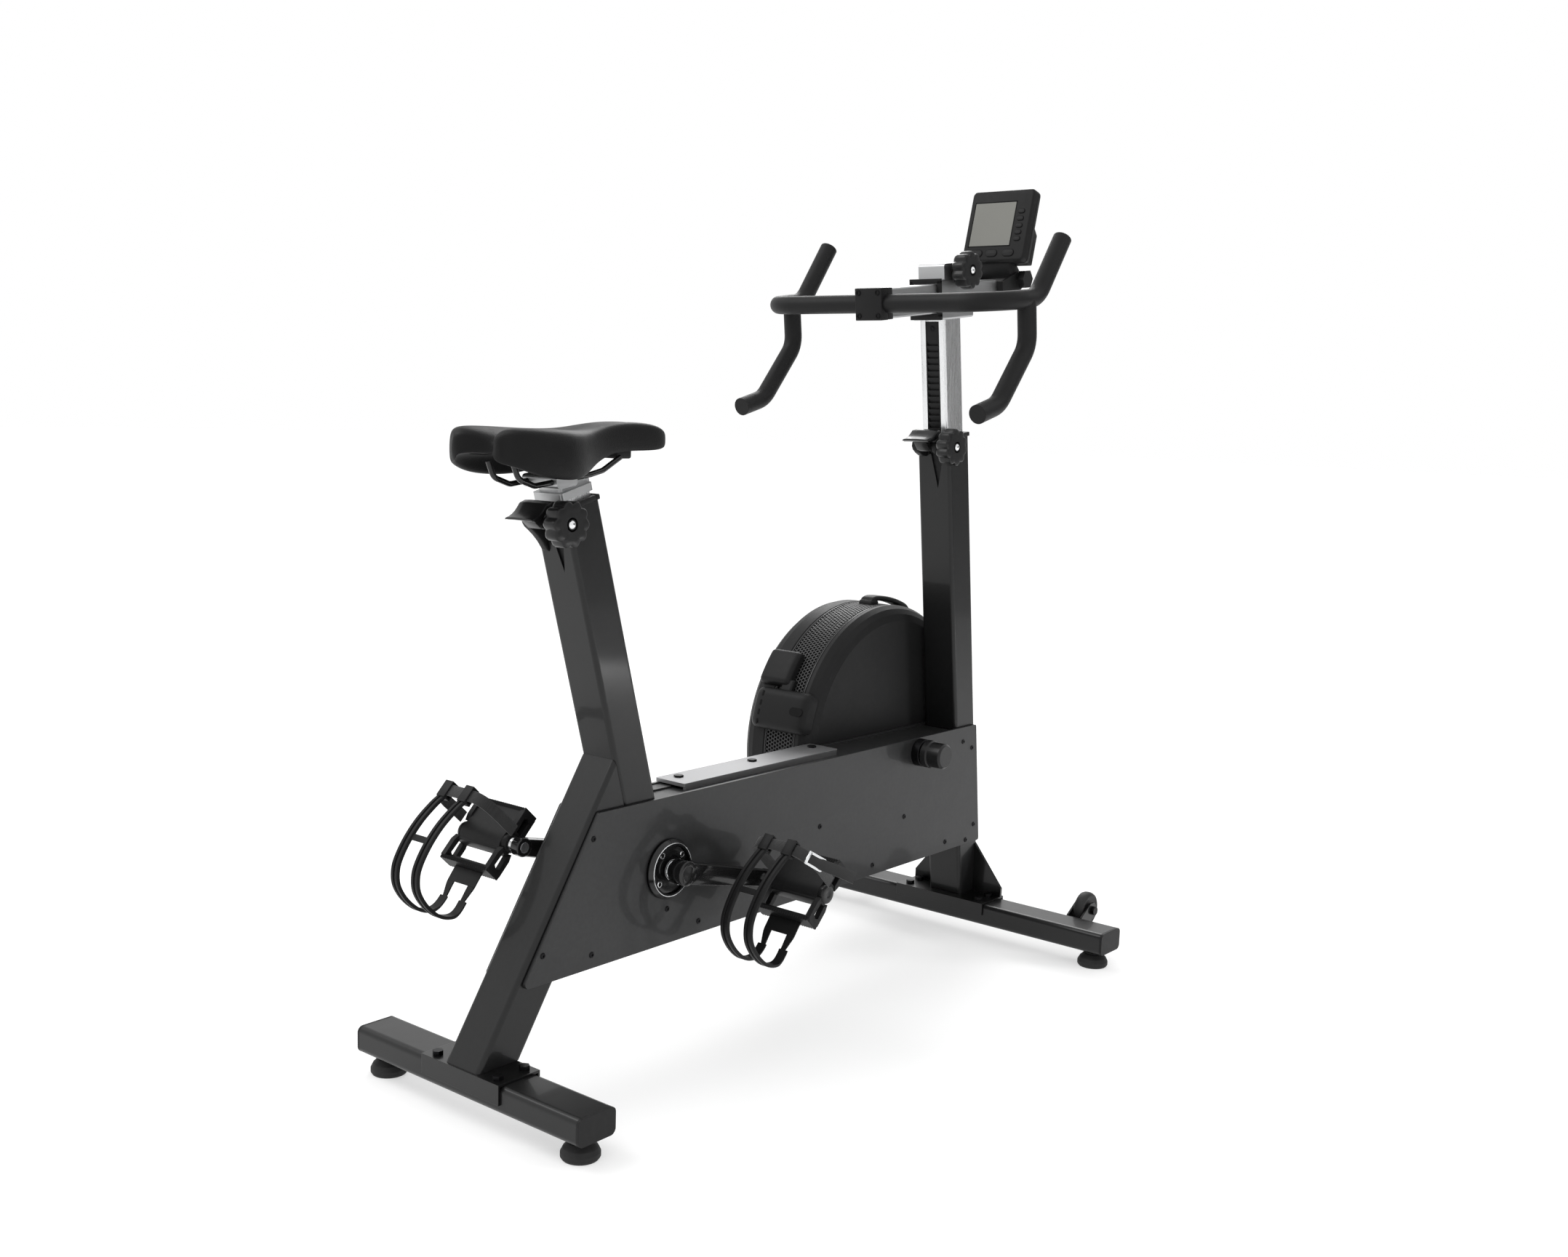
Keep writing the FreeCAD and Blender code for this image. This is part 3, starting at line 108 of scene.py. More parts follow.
class Nodes:
    """Short calls that add and join the nodes of one material."""

    def __init__(self, name):
        self.material = bpy.data.materials.new(name)
        self.material.use_nodes = True
        self.tree = self.material.node_tree
        self.tree.nodes.clear()
        self.shader = self.add("ShaderNodeBsdfPrincipled")
        self.add("ShaderNodeOutputMaterial", {"Surface": self.shader.outputs[0]})
        self.place = self.add("ShaderNodeTexCoord").outputs["Object"]

    def feed(self, socket, value):
        """Joins a socket to another, or sets it to a number, a vector or a colour."""
        if isinstance(value, (int, float)):
            socket.default_value = value
        elif isinstance(value, tuple):
            socket.default_value = value if len(value) == len(socket.default_value) else (*value, 1)
        else:
            self.tree.links.new(value, socket)

    def add(self, kind, inputs=None, **values):
        made = self.tree.nodes.new(kind)
        for key, value in values.items():
            setattr(made, key, value)
        for key, value in (inputs or {}).items():
            self.feed(made.inputs[key], value)
        return made

    def set(self, **values):
        """Feeds the inputs of the shader."""
        for key, value in values.items():
            self.feed(self.shader.inputs[key.replace("_", " ")], value)

    def stretched(self, scale):
        return self.add("ShaderNodeMapping", {"Scale": scale, "Vector": self.place}).outputs[0]

    def noise(self, scale, detail=3.0, vector=None, roughness=0.55):
        values = {"Scale": scale, "Detail": detail, "Roughness": roughness, "Vector": vector or self.place}
        return self.add("ShaderNodeTexNoise", values).outputs["Fac"]

    def cells(self, scale, feature="F1"):
        values = {"Scale": scale, "Vector": self.place}
        return self.add("ShaderNodeTexVoronoi", values, feature=feature).outputs["Distance"]

    def ramp(self, source, low, high, start=0.0, end=1.0):
        """Maps a value to a range, or to a colour between two colours."""
        if isinstance(low, (int, float)):
            values = {"Value": source, "From Min": start, "From Max": end, "To Min": low, "To Max": high}
            return self.add("ShaderNodeMapRange", values).outputs[0]
        made = self.add("ShaderNodeValToRGB", {0: source})
        for element, position, colour in zip(made.color_ramp.elements, (start, end), (low, high)):
            element.position = position
            element.color = (*colour, 1)
        return made.outputs[0]

    def shade(self, source, colour, low, high, start=0.3, end=0.7):
        """A colour between two tints of one colour."""
        return self.ramp(source, tint(colour, low), tint(colour, high), start, end)

    def mix(self, fac, first, second):
        values = {"Factor": fac, 6: first, 7: second}
        return self.add("ShaderNodeMix", values, data_type="RGBA").outputs[2]

    def math(self, operation, first, second):
        return self.add("ShaderNodeMath", {0: first, 1: second}, operation=operation).outputs[0]

    def relief(self, height, strength, distance, soft_edge=0.0):
        """Bump on top of a small rounding of every sharp edge."""
        values = {"Strength": strength, "Distance": distance, "Height": height}
        if soft_edge:
            values["Normal"] = self.add("ShaderNodeBevel", {"Radius": soft_edge}, samples=4).outputs[0]
        self.set(Normal=self.add("ShaderNodeBump", values).outputs[0])

    def worn_edges(self, colour, worn, amount):
        """Lightens the paint a little along edges, broken up by noise."""
        geometry = self.add("ShaderNodeNewGeometry")
        edge = self.ramp(geometry.outputs["Pointiness"], 0.0, amount, 0.53, 0.62)
        return self.mix(self.math("MULTIPLY", edge, self.noise(160, 4)), colour, worn)


def tint(colour, factor):
    return tuple(min(1.0, part * factor) for part in colour)


def painted(name, colour, rough=0.38, gloss=0.35, grain=1.0):
    """Powder coat: fine orange peel, a little colour drift, light wear along the edges."""
    n = Nodes(name)
    drift = n.shade(n.noise(6.0, 2), colour, 0.93, 1.07)
    specks = n.ramp(n.noise(1500, 2), 0.0, 0.10, 0.45, 0.75)
    base = n.mix(specks, drift, tint(colour, 1.7))
    n.set(Base_Color=n.worn_edges(base, tint(colour, 2.6), 0.5),
          Roughness=n.ramp(n.noise(40, 4), rough - 0.04, rough + 0.05),
          Specular_IOR_Level=0.22, Coat_Weight=gloss, Coat_Roughness=0.07)
    n.relief(n.noise(900, 3), 0.10 * grain, 0.0004, 0.0009)
    return n.material


def plastic(name, colour, rough=0.45, grain=1.0, gloss=0.0):
    """Moulded plastic with a fine spark-eroded grain."""
    n = Nodes(name)
    base = n.shade(n.noise(9, 3), colour, 0.9, 1.12)
    n.set(Base_Color=n.worn_edges(base, tint(colour, 3.0), 0.35),
          Roughness=n.ramp(n.noise(120, 4), rough - 0.05, rough + 0.07),
          Specular_IOR_Level=0.16, Coat_Weight=gloss, Coat_Roughness=0.15)
    n.relief(n.cells(1600), 0.16 * grain, 0.0003, 0.0007)
    return n.material


def metal(name, colour, rough=0.25, brush=(40, 40, 2500), strength=0.05):
    """Bright metal with fine brushing along one axis."""
    n = Nodes(name)
    lines = n.noise(1.0, 4, n.stretched(brush), 0.7)
    n.set(Base_Color=n.shade(lines, colour, 0.9, 1.05),
          Roughness=n.ramp(lines, rough - 0.06, rough + 0.08, 0.3, 0.7), Metallic=1.0)
    n.relief(lines, strength, 0.0002, 0.0006)
    return n.material


def rubber(name, colour, rough=0.7, scale=700, strength=0.25):
    n = Nodes(name)
    n.set(Base_Color=n.shade(n.noise(25, 4), colour, 0.85, 1.2),
          Roughness=n.ramp(n.noise(200, 3), rough - 0.08, rough + 0.08))
    n.relief(n.noise(scale, 4), strength, 0.0005, 0.0006)
    return n.material


def vinyl(name, colour):
    """The saddle cover: a soft pebbled skin with a faint sheen."""
    n = Nodes(name)
    n.set(Base_Color=n.shade(n.noise(14, 4), colour, 0.88, 1.15),
          Roughness=n.ramp(n.noise(90, 4), 0.46, 0.58), Specular_IOR_Level=0.15)
    n.relief(n.cells(620, "SMOOTH_F1"), 0.35, 0.0006)
    return n.material


def webbing(name, colour):
    """Woven strap: crossed fine waves with a light sheen."""
    n = Nodes(name)
    waves = []
    for direction in ("X", "Y", "Z"):
        values = {"Scale": 330, "Distortion": 0.4, "Vector": n.place}
        wave = n.add("ShaderNodeTexWave", values, bands_direction=direction, wave_profile="SIN")
        waves.append(wave.outputs["Fac"])
    weave = n.math("MULTIPLY", n.math("ADD", waves[0], waves[1]), waves[2])
    n.set(Base_Color=n.shade(weave, colour, 0.6, 1.5, 0.2, 1.4), Roughness=0.75, Sheen_Weight=0.25,
          Sheen_Roughness=0.5)
    n.relief(weave, 0.5, 0.0004)
    return n.material


def display(name, colour):
    """A switched-off reflective display behind a clear window."""
    n = Nodes(name)
    n.set(Base_Color=n.shade(n.noise(16, 2), colour, 0.97, 1.03),
          Roughness=n.ramp(n.noise(400, 2), 0.28, 0.34),
          Specular_IOR_Level=0.3, Coat_Weight=0.15, Coat_Roughness=0.06)
    n.relief(n.noise(1200, 2), 0.04, 0.0002)
    return n.material


CHARCOAL = (0.0215, 0.0217, 0.0222)
BLACK = (0.0082, 0.0082, 0.0084)
DEEP = (0.004, 0.004, 0.0042)
SILVER = (0.62, 0.625, 0.63)

LOOKS = {
    "frame_paint": (painted, tint(CHARCOAL, 0.24), 0.36, 0.24),
    "plate_paint": (painted, tint(CHARCOAL, 0.62), 0.42, 0.2),
    "black_plastic": (plastic, BLACK, 0.46),
    "gloss_black": (plastic, tint(BLACK, 1.1), 0.34, 0.7, 0.25),
    "foot_rubber": (rubber, DEEP),
    "wheel_tread": (rubber, tint(BLACK, 0.8), 0.6, 500, 0.15),
    "bright_steel": (metal, tint(SILVER, 1.28), 0.28, (900, 900, 14), 0.04),
    "fastener_steel": (metal, (0.018, 0.018, 0.019), 0.4, (300, 300, 300), 0.03),
    "silver_paint": (metal, tint(SILVER, 0.74), 0.4, (14, 900, 900), 0.03),
    "crank_black": (painted, tint(BLACK, 0.6), 0.2, 0.45, 0.3),
    "fan_steel": (painted, tint(BLACK, 2.6), 0.4, 0.2),
    "belt_rubber": (rubber, DEEP, 0.6),
    "bar_black": (plastic, tint(BLACK, 1.15), 0.48, 1.3),
    "seat_cover": (vinyl, tint(BLACK, 0.62)),
    "strap_web": (webbing, BLACK),
    "screen_glass": (display, (0.113, 0.113, 0.097)),
    "key_plastic": (plastic, tint(BLACK, 1.2), 0.5, 0.6),
}
MATERIALS = {slot: make(slot, *values) for slot, (make, *values) in LOOKS.items()}
CHROME = metal("chrome_trim", (0.82, 0.83, 0.84), 0.10, (60, 60, 60), 0.01)
# Near-black matte plastic. It is the real colour of the console bezel and the clamp's socket screws. On the knob
# bore rings, key rims, fan liner, fan grooves, rim-block slot and vents and the bearing bolt centres it is painted
# shade standing for recesses and gaps.
BLACK_TRIM_AND_SHADE = plastic("black_trim_and_recess_shade", tint(DEEP, 0.5), 0.7, 0.4)
SLOT_OF = {item["node"]: item["material_slot"] for item in frame["record"]["subparts"]}

OWN_FINISH = {
    # The stabiliser brackets take a darker copy of the frame's paint: painted shade for the dark floor they
    # reflect.
    "stabiliser_brackets": painted("bracket_paint_darkened_as_shade", tint(CHARCOAL, 0.1), 0.3, 0.3),
    "top_cover": metal("cover_metal", (0.30, 0.30, 0.305), 0.5, (14, 900, 900), 0.03),
}

for cad_name, cad_piece in frame["nodes"].items():
    cad_piece.data.materials.clear()
    cad_piece.data.materials.append(OWN_FINISH.get(cad_name, MATERIALS[SLOT_OF[cad_name]]))


# ---- mesh helpers

def mesh_of(name, bm, recalculate=True):
    """The mesh of a bmesh, which is used up."""
    data = bpy.data.meshes.new(name)
    if recalculate:
        bmesh.ops.recalc_face_normals(bm, faces=bm.faces)
    bm.to_mesh(data)
    bm.free()
    return data


def piece(name, body, slot, bm, angle=40, finish=None):
    """Makes a piece from a bmesh or several, on a body, in a slot's material or in a finish of its own."""
    data = mesh_of(name, all_of(*bm) if isinstance(bm, list) else bm)
    made = bpy.data.objects.new(name, data)
    bpy.context.scene.collection.objects.link(made)
    data.materials.append(finish or MATERIALS[slot])
    data.shade_smooth()
    if angle < 180:
        data.set_sharp_from_angle(angle=math.radians(angle))
    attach(made, body)
    return made


def modified(made, kind, **values):
    """Adds a modifier and applies it at once."""
    modifier = made.modifiers.new(kind.title(), kind)
    for key, value in values.items():
        setattr(modifier, key, value)
    bpy.context.view_layer.update()
    graph = bpy.context.evaluated_depsgraph_get()
    baked = bpy.data.meshes.new_from_object(made.evaluated_get(graph))
    made.modifiers.clear()
    old = made.data
    made.data = baked
    bpy.data.meshes.remove(old)
    return made


def skin(rings, closed_path=False):
    """Joins rings of points, all of one length, into a skin that is capped or goes round."""
    bm = bmesh.new()
    rows = [[bm.verts.new(point) for point in ring] for ring in rings]
    count = len(rows[0])
    pairs = list(zip(rows, rows[1:]))
    if closed_path:
        pairs.append((rows[-1], rows[0]))
    for first, second in pairs:
        for step in range(count):
            after = (step + 1) % count
            bm.faces.new((first[step], first[after], second[after], second[step]))
    if not closed_path:
        bm.faces.new(list(reversed(rows[0])))
        bm.faces.new(rows[-1])
    return bm


def turned(place, profile, steps=64):
    """A closed lathe part about a place's y axis, from (radius, y) points in millimetres."""
    turns = [2 * math.pi * step / steps for step in range(steps)]
    bm = skin([[place.round(radius, turn, y) for radius, y in profile] for turn in turns], closed_path=True)
    bmesh.ops.remove_doubles(bm, verts=bm.verts, dist=1e-7)
    return bm


def tangents(points):
    found = []
    for count, point in enumerate(points):
        before = points[max(count - 1, 0)]
        after = points[min(count + 1, len(points) - 1)]
        found.append((point, (after - before).normalized()))
    return found


def smooth_line(points, steps=6):
    """A Catmull-Rom line through points."""
    ends = [points[0] * 2 - points[1]] + points + [points[-1] * 2 - points[-2]]
    line = []
    for p0, p1, p2, p3 in zip(ends, ends[1:], ends[2:], ends[3:]):
        for step in range(steps):
            t = step / steps
            line.append(0.5 * ((2 * p1) + (p2 - p0) * t + (2 * p0 - 5 * p1 + 4 * p2 - p3) * t * t
                               + (3 * p1 - p0 - 3 * p2 + p3) * t ** 3))
    line.append(points[-1].copy())
    return line


def rounded(bm, radius, segments=3, limit=28):
    """Rounds the edges between faces that meet at an angle."""
    if radius:
        bm.normal_update()
        sharp = [edge for edge in bm.edges
                 if len(edge.link_faces) == 2 and edge.calc_face_angle(0.0) > math.radians(limit)]
        bmesh.ops.bevel(bm, geom=sharp, offset=radius * MM, offset_type="OFFSET", segments=segments,
                        profile=0.5, affect="EDGES", clamp_overlap=True)
    return bm


def prism(place, outline, low, high, radius=0.0, segments=3, axis="y", limit=28):
    """An outline given thickness along an axis, with its edges rounded. Millimetres."""
    order = {"y": (0, 2, 1), "x": (2, 0, 1), "z": (0, 1, 2)}[axis]
    rings = []
    for level in (low, high):
        rings.append([place(*((a, b, level)[part] for part in order)) for a, b in outline])
    bm = skin(rings)
    bmesh.ops.recalc_face_normals(bm, faces=bm.faces)
    return rounded(bm, radius, segments, limit)


def block(place, x, y, z, radius=0.0, segments=3):
    outline = [(x[0], z[0]), (x[1], z[0]), (x[1], z[1]), (x[0], z[1])]
    return prism(place, outline, y[0], y[1], radius, segments)


def quarter(x, y, radius, start, steps):
    """A quarter circle of points about a centre, turning anticlockwise from an angle in degrees."""
    turns = [math.radians(start + 90 * step / steps) for step in range(steps + 1)]
    return [(x + radius * math.cos(turn), y + radius * math.sin(turn)) for turn in turns]


def pill(wide, tall, steps=8):
    """A closed outline with round ends, wide across and tall up."""
    radius = min(wide, tall) / 2
    points = []
    for corner, (sx, sy) in enumerate(((1, 1), (-1, 1), (-1, -1), (1, -1))):
        points += quarter(sx * (wide / 2 - radius), sy * (tall / 2 - radius), radius, 90 * corner, steps)
    return points


def shifted(outline, across, up):
    return [(a + across, b + up) for a, b in outline]


def all_of(*parts):
    """One bmesh from several, which are used up."""
    whole = parts[0]
    for part in parts[1:]:
        data = mesh_of("joined", part, recalculate=False)
        whole.from_mesh(data)
        bpy.data.meshes.remove(data)
    return whole


def circle(radius, steps=20, start=0.0):
    turns = [start + 2 * math.pi * step / steps for step in range(steps)]
    return [(radius * math.cos(turn), radius * math.sin(turn)) for turn in turns]


# ---- fan

FAN_R = 222.0
BAND = (61.0, 124.0)
FINE = 160


def perforated_band():
    """The fan's perforated sheet: rows of six-sided cells round the rim, each with a hole."""
    bm = bmesh.new()
    around = 232
    radius = FAN_R - 0.6
    pitch = 2 * math.pi * radius / around
    row_step = pitch * math.sqrt(3) / 2
    margin = 3.2
    rows = int((BAND[1] - BAND[0] - 2 * margin) / row_step)
    start = (BAND[0] + BAND[1]) / 2 - row_step * (rows - 1) / 2

    def ring(arc, station, outline):
        return [bm.verts.new(FAN.round(radius, (arc + a) / radius, station + b)) for a, b in outline]

    cell = circle(pitch / math.sqrt(3), 6, math.pi / 6)
    hole = circle(pitch * 0.40, 6, math.pi / 6)

    for row in range(rows):
        for column in range(around):
            arc = (column + 0.5 * (row % 2)) * pitch
            station = start + row * row_step
            outer = ring(arc, station, cell)
            inner = ring(arc, station, hole)
            for corner in range(6):
                after = (corner + 1) % 6
                bm.faces.new((outer[corner], outer[after], inner[after], inner[corner]))
    bmesh.ops.remove_doubles(bm, verts=bm.verts, dist=pitch * MM * 0.05)
    made = piece("fan_band_perforated", "base", "fan_steel", bm, angle=60)
    modified(made, "SOLIDIFY", thickness=1.0 * MM, offset=-1.0)
    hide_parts("fan_mesh_band")


def fan_ring(name, slot, inner, outer, low, high, finish=None):
    """A plain square ring round the fan's axis, from radii short of the rim."""
    profile = [(FAN_R - inner, low), (FAN_R - outer, low), (FAN_R - outer, high), (FAN_R - inner, high)]
    piece(name, "base", slot, turned(FAN, profile, FINE), finish=finish)


perforated_band()
fan_ring("fan_band_border_near", "fan_steel", 2.2, 0.4, BAND[0], BAND[0] + 4.2)
fan_ring("fan_band_border_far", "fan_steel", 2.2, 0.4, BAND[1] - 4.2, BAND[1])
# A dark sheet inside the perforated band: painted shade seen through its holes.
fan_ring("fan_painted_shade_liner", "black_plastic", 7, 6, BAND[0] + 0.5, BAND[1] - 0.5, BLACK_TRIM_AND_SHADE)


# ---- knobs, levers and latches

def knob(name, body, place, outer=-58.0, inner=-33.0):
    """Ten soft lobes round a flat face, with a domed bolt in a dark ring that is painted shade of the bore."""
    steps = 200
    full = 29.3
    bore_share = 0.30
    levels = [(inner, 0.70), (inner - 1.0, 0.86), (inner - 3.5, 0.95), (inner - 7, 1.0), (outer + 3.0, 1.0),
              (outer + 1.2, 0.985), (outer + 0.3, 0.955), (outer, 0.92), (outer, 0.62), (outer, bore_share)]
    rows = []
    for station, share in levels:
        depth = 3.9 * min(1.0, max(0.0, (share - bore_share) / 0.62)) ** 2
        row = []
        for step in range(steps):
            turn = 2 * math.pi * step / steps
            wave = 0.5 - 0.5 * math.cos(10 * turn)
            radius = full * share - depth * (1 - wave ** 0.62)
            row.append(place.round(radius, turn, station))
        rows.append(row)
    made = piece(f"{name}_grip", body, "gloss_black", skin(rows))
    # The ring in the bore takes the near-black finish: painted shade of the recess round the bolt.
    ring = [(8.6, outer + 1.5), (8.6, outer), (6.6, outer), (6.6, outer + 1.5)]
    piece(f"{name}_ring", body, "gloss_black", turned(place, ring, 48), finish=BLACK_TRIM_AND_SHADE)
    dome = [(0.05, outer - 2.6), (2.4, outer - 2.2), (4.4, outer - 1.2), (5.6, outer + 0.4),
            (5.8, outer + 2), (0.05, outer + 2)]
    piece(f"{name}_bolt_end", body, "bright_steel", turned(place, dome, 40), angle=80, finish=CHROME)
    boss = [(0.05, inner), (14, inner), (15, inner + 1.5), (12, inner + 5.6), (0.05, inner + 5.6)]
    shaft = [(0.05, inner + 5), (3.95, inner + 5), (3.95, -inner - 9), (0.05, -inner - 9)]
    piece(f"{name}_shank", body, "black_plastic", turned(place, boss, 40))
    piece(f"{name}_bolt", body, "fastener_steel", turned(place, shaft, 32))
    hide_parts(name)


def lever(name, body, place):
    """A concave paddle wider than its hub, which sweeps up towards the post and back to a thin tip."""
    top = [(3, 26.5), (-5, 25.8), (-10, 22.0), (-15, 18.6), (-20, 16.4), (-26, 15.0), (-31.4, 14.8)]
    under = [(-31.4, 12.2), (-27, 9.8), (-20, 9.6), (-12, 13.2), (-4, 18.2), (3, 20.8)]
    right = [(-24.6, 1.8, 1.6), (-23.8, 1.2, 0.3), (-22, 0.8, 0), (-12, 0.1, 0)]
    rows = []
    for y, drop, inset in right + [(0, 0, 0)] + [(-y, drop, inset) for y, drop, inset in reversed(right)]:
        ring = [(x, z - drop - inset) for x, z in top] + [(x, z - drop * 0.4 + inset * 0.4) for x, z in under]
        rows.append([place(x, y, z) for x, z in ring])
    paddle = piece(f"{name}_paddle", body, "gloss_black", skin(rows), angle=50)
    modified(paddle, "BEVEL", width=0.8 * MM, segments=2, limit_method="ANGLE")
    hub = turned(place, [(4.9, -12.3), (8.4, -12.3), (8.9, -11.6), (8.9, 11.6), (8.4, 12.3), (4.9, 12.3)], 48)
    web = prism(place, [(-3, 8.2), (-1, 19.4), (-6, 18.6), (-14, 13.4), (-21, 10.2), (-16, 3), (-9.5, -6),
                        (-7.2, -5)], -12.1, 12.1, 0.8, 2)
    piece(f"{name}_hub", body, "gloss_black", [hub, web])
    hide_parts(name)


def latch_housing(name, place, wide, deep, top, axis_s, long_cheek):
    """The latch housing: a collar on the tube's mouth, two curved cheeks behind it and a bush below."""
    back = -deep / 2
    top_edge = [(-52.5, axis_s - 6), (-54.8, axis_s), (-53, axis_s + 6), (-49, axis_s + 8.6),
                (-40, axis_s + 9.5), (back + 0.5, top + 6.6)]
    right = [(back + 0.5, axis_s - 19.5), (-38, axis_s - 17), (-46.5, axis_s - 11.5)] + top_edge
    left = right
    if long_cheek:
        left = [(back + 0.5, axis_s - 46), (back - 3, axis_s - 43), (-37, axis_s - 30), (-42.5, axis_s - 20),
                (-48, axis_s - 12)] + top_edge
    parts = [prism(place, right, -23.8, -12.8, 1.4, 3), prism(place, left, 12.8, 23.8, 1.4, 3)]
    half_x = deep / 2 + 0.8
    half_y = wide / 2 + 0.8
    inner_x = 24.0
    inner_y = 24.6
    for x, y in (((-half_x, -inner_x), (-half_y, half_y)), ((inner_x, half_x), (-half_y, half_y)),
                 ((-inner_x, inner_x), (-half_y, -inner_y)), ((-inner_x, inner_x), (inner_y, half_y))):
        parts.append(block(place, x, y, (top - 0.1, top + 6.6), 1.2, 2))
    bush_x = deep / 2 - 3.2
    bush_y = wide / 2 - 3.2
    for x, y in (((-bush_x, -inner_x), (-bush_y, bush_y)), ((-inner_x, bush_x), (-bush_y, -inner_y)),
                 ((-inner_x, bush_x), (inner_y, bush_y))):
        parts.append(block(place, x, y, (top - 119, top)))
    made = piece(f"{name}_shell", "base", "black_plastic", parts)
    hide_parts(name)


knob("seat_knob", "seat_latch_knob", SEAT_AXIS)
knob("mast_knob", "mast_latch_knob", MAST_AXIS)
knob("stem_knob", "stem_clamp_knob", STEM_AXIS)
lever("seat_lever", "seat_latch_lever", SEAT_AXIS)
lever("mast_lever", "mast_latch_lever", MAST_AXIS)
latch_housing("seat_latch_housing", SEAT, 62.0, 58.0, 388.5, SEAT_LATCH, True)
latch_housing("mast_latch_housing", MAST, 62.7, 56.2, 776.8, MAST_LATCH, False)


# ---- posts

POST_X = 46.9 / 2
POST_Y = 48.1 / 2
SLOT_Y = 12.7
SLOT_DEEP = 4.5


def rack(name, body, place, low, high):
    """The toothed plastic strip let into the rear face of a post, with its screw."""
    face = -POST_X
    outline = [(face + 4.3, low), (face + 0.7, low)]
    for step in range(int((high - 32 - low) // 10)):
        tooth = low + 6 + step * 10
        outline += [(face + 3.6, tooth), (face + 0.15, tooth + 7.6), (face + 0.15, tooth + 9.4)]
    outline += [(face + 0.3, high - 22), (face + 0.3, high), (face + 4.3, high)]
    parts = [prism(place, outline, -10.6, 10.6)]
    for y in (-11.6, 11.6):
        parts.append(block(place, (face + 0.02, face + 4.2), (y - 1.0, y + 1.0), (low, high), 0.3, 2))
    piece(f"{name}_rack", body, "black_plastic", parts, angle=30)
    rings = []
    for radius, depth in ((4.7, 0.6), (4.7, 0.0), (4.2, -0.25), (1.9, -0.25), (1.7, 0.9), (0.1, 0.9)):
        rings.append([place(face + depth, a, high - 11 + b) for a, b in circle(radius, 28)])
    piece(f"{name}_rack_screw", body, "fastener_steel", skin(rings))


def post(name, body, place, long, top):
    """A bright square tube with rounded corners, slotted at the back for its rack."""
    corner = 4.0
    steps = 6
    ring = [(-POST_X, SLOT_Y), (-POST_X, POST_Y - corner)]
    for start, side in ((180, -1), (90, 1)):
        for step in range(1, steps + 1):
            turn = math.radians(start - 90 * step / steps)
            ring.append((side * (POST_X - corner) + corner * math.cos(turn),
                         POST_Y - corner + corner * math.sin(turn)))
        if start == 180:
            ring.append((POST_X - corner, POST_Y))
    ring.append((POST_X, 0))
    ring += [(x, -y) for x, y in reversed(ring[:-1])]
    ring += [(-POST_X + SLOT_DEEP, -SLOT_Y), (-POST_X + SLOT_DEEP, SLOT_Y)]
    levels = [top - long, top - long + 0.6, top - 0.6, top]
    tube = skin([[place(x, y, level) for x, y in ring] for level in levels])
    made = piece(f"{name}_tube", body, "bright_steel", tube, angle=30)
    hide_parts(name)
    rack(name, body, place, top - long + 4, top - 3)


post("seat_post", "seat_column", SEAT, 310.0, 401.0)
post("handlebar_post", "bar_column", MAST, 410.0, 964.0)


# ---- saddle

SADDLE = [
    # station, half width, lobe top, centre top, skirt bottom, centre shift
    (-15.5, 46, 833.0, 822.0, 799.0, 34.0),
    (-8.0, 62, 839.0, 825.0, 796.0, 31.0),
    (10.0, 73, 841.0, 828.0, 789.5, 20.0),
    (34.0, 80.5, 841.0, 829.0, 783.0, 9.0),
    (66.0, 83.0, 840.0, 830.0, 779.5, 1.5),
    (98.0, 70, 838.7, 832.0, 780.5, 0.0),
    (126.0, 51.5, 838.7, 835.0, 789.0, 0.0),
    (150.0, 40.0, 841.0, 839.2, 800.0, 0.0),
    (178.0, 32.5, 846.0, 844.8, 808.5, 0.0),
    (208.0, 29.0, 849.0, 848.4, 812.5, 0.0),
    (242.0, 27.4, 849.0, 848.7, 812.5, 0.0),
    (268.0, 26.4, 846.0, 845.8, 813.5, 0.0),
    (285.0, 20.5, 839.5, 839.3, 816.5, 0.0),
]


def saddle_ring(x, half, lobe, middle, low, shift):
    """Half of one section, from the top of its middle round the skirt to the middle underneath."""
    tall = lobe - low
    full = min(1.0, tall / 56)
    under = max(low + 8, min(808.5, lobe - 20))
    across = [(0.0, middle), (0.16, middle + (lobe - middle) * 0.12), (0.36, middle + (lobe - middle) * 0.72),
              (0.60, lobe), (0.82, lobe - 1.2 * full), (0.95, lobe - 7.0 * full), (1.0, lobe - tall * 0.38),
              (1.0, low + tall * 0.26), (0.97, low + tall * 0.06), (0.88, low), (0.77, low + 1.5),
              (0.69, under), (0.34, under), (0.0, under)]
    notch = 31.0
    ring = []
    for share, up in across:
        y = share * half
        pull = shift * max(0.0, 1 - (y / notch) ** 2)
        curl = -4.5 * max(0.0, share - 0.55) / 0.45 if x < 20 else 0.0
        ring.append((x + pull - curl * (1 - max(0.0, x) / 20), y, up))
    return ring


def capped(ring, dx, squeeze, lift):
    """A smaller copy of an end section, moved out, which rounds the end."""
    heights = [up for _, _, up in ring]
    middle = (min(heights) + max(heights)) / 2
    return [(x + dx, y * squeeze, middle + (up - middle) * lift) for x, y, up in ring]


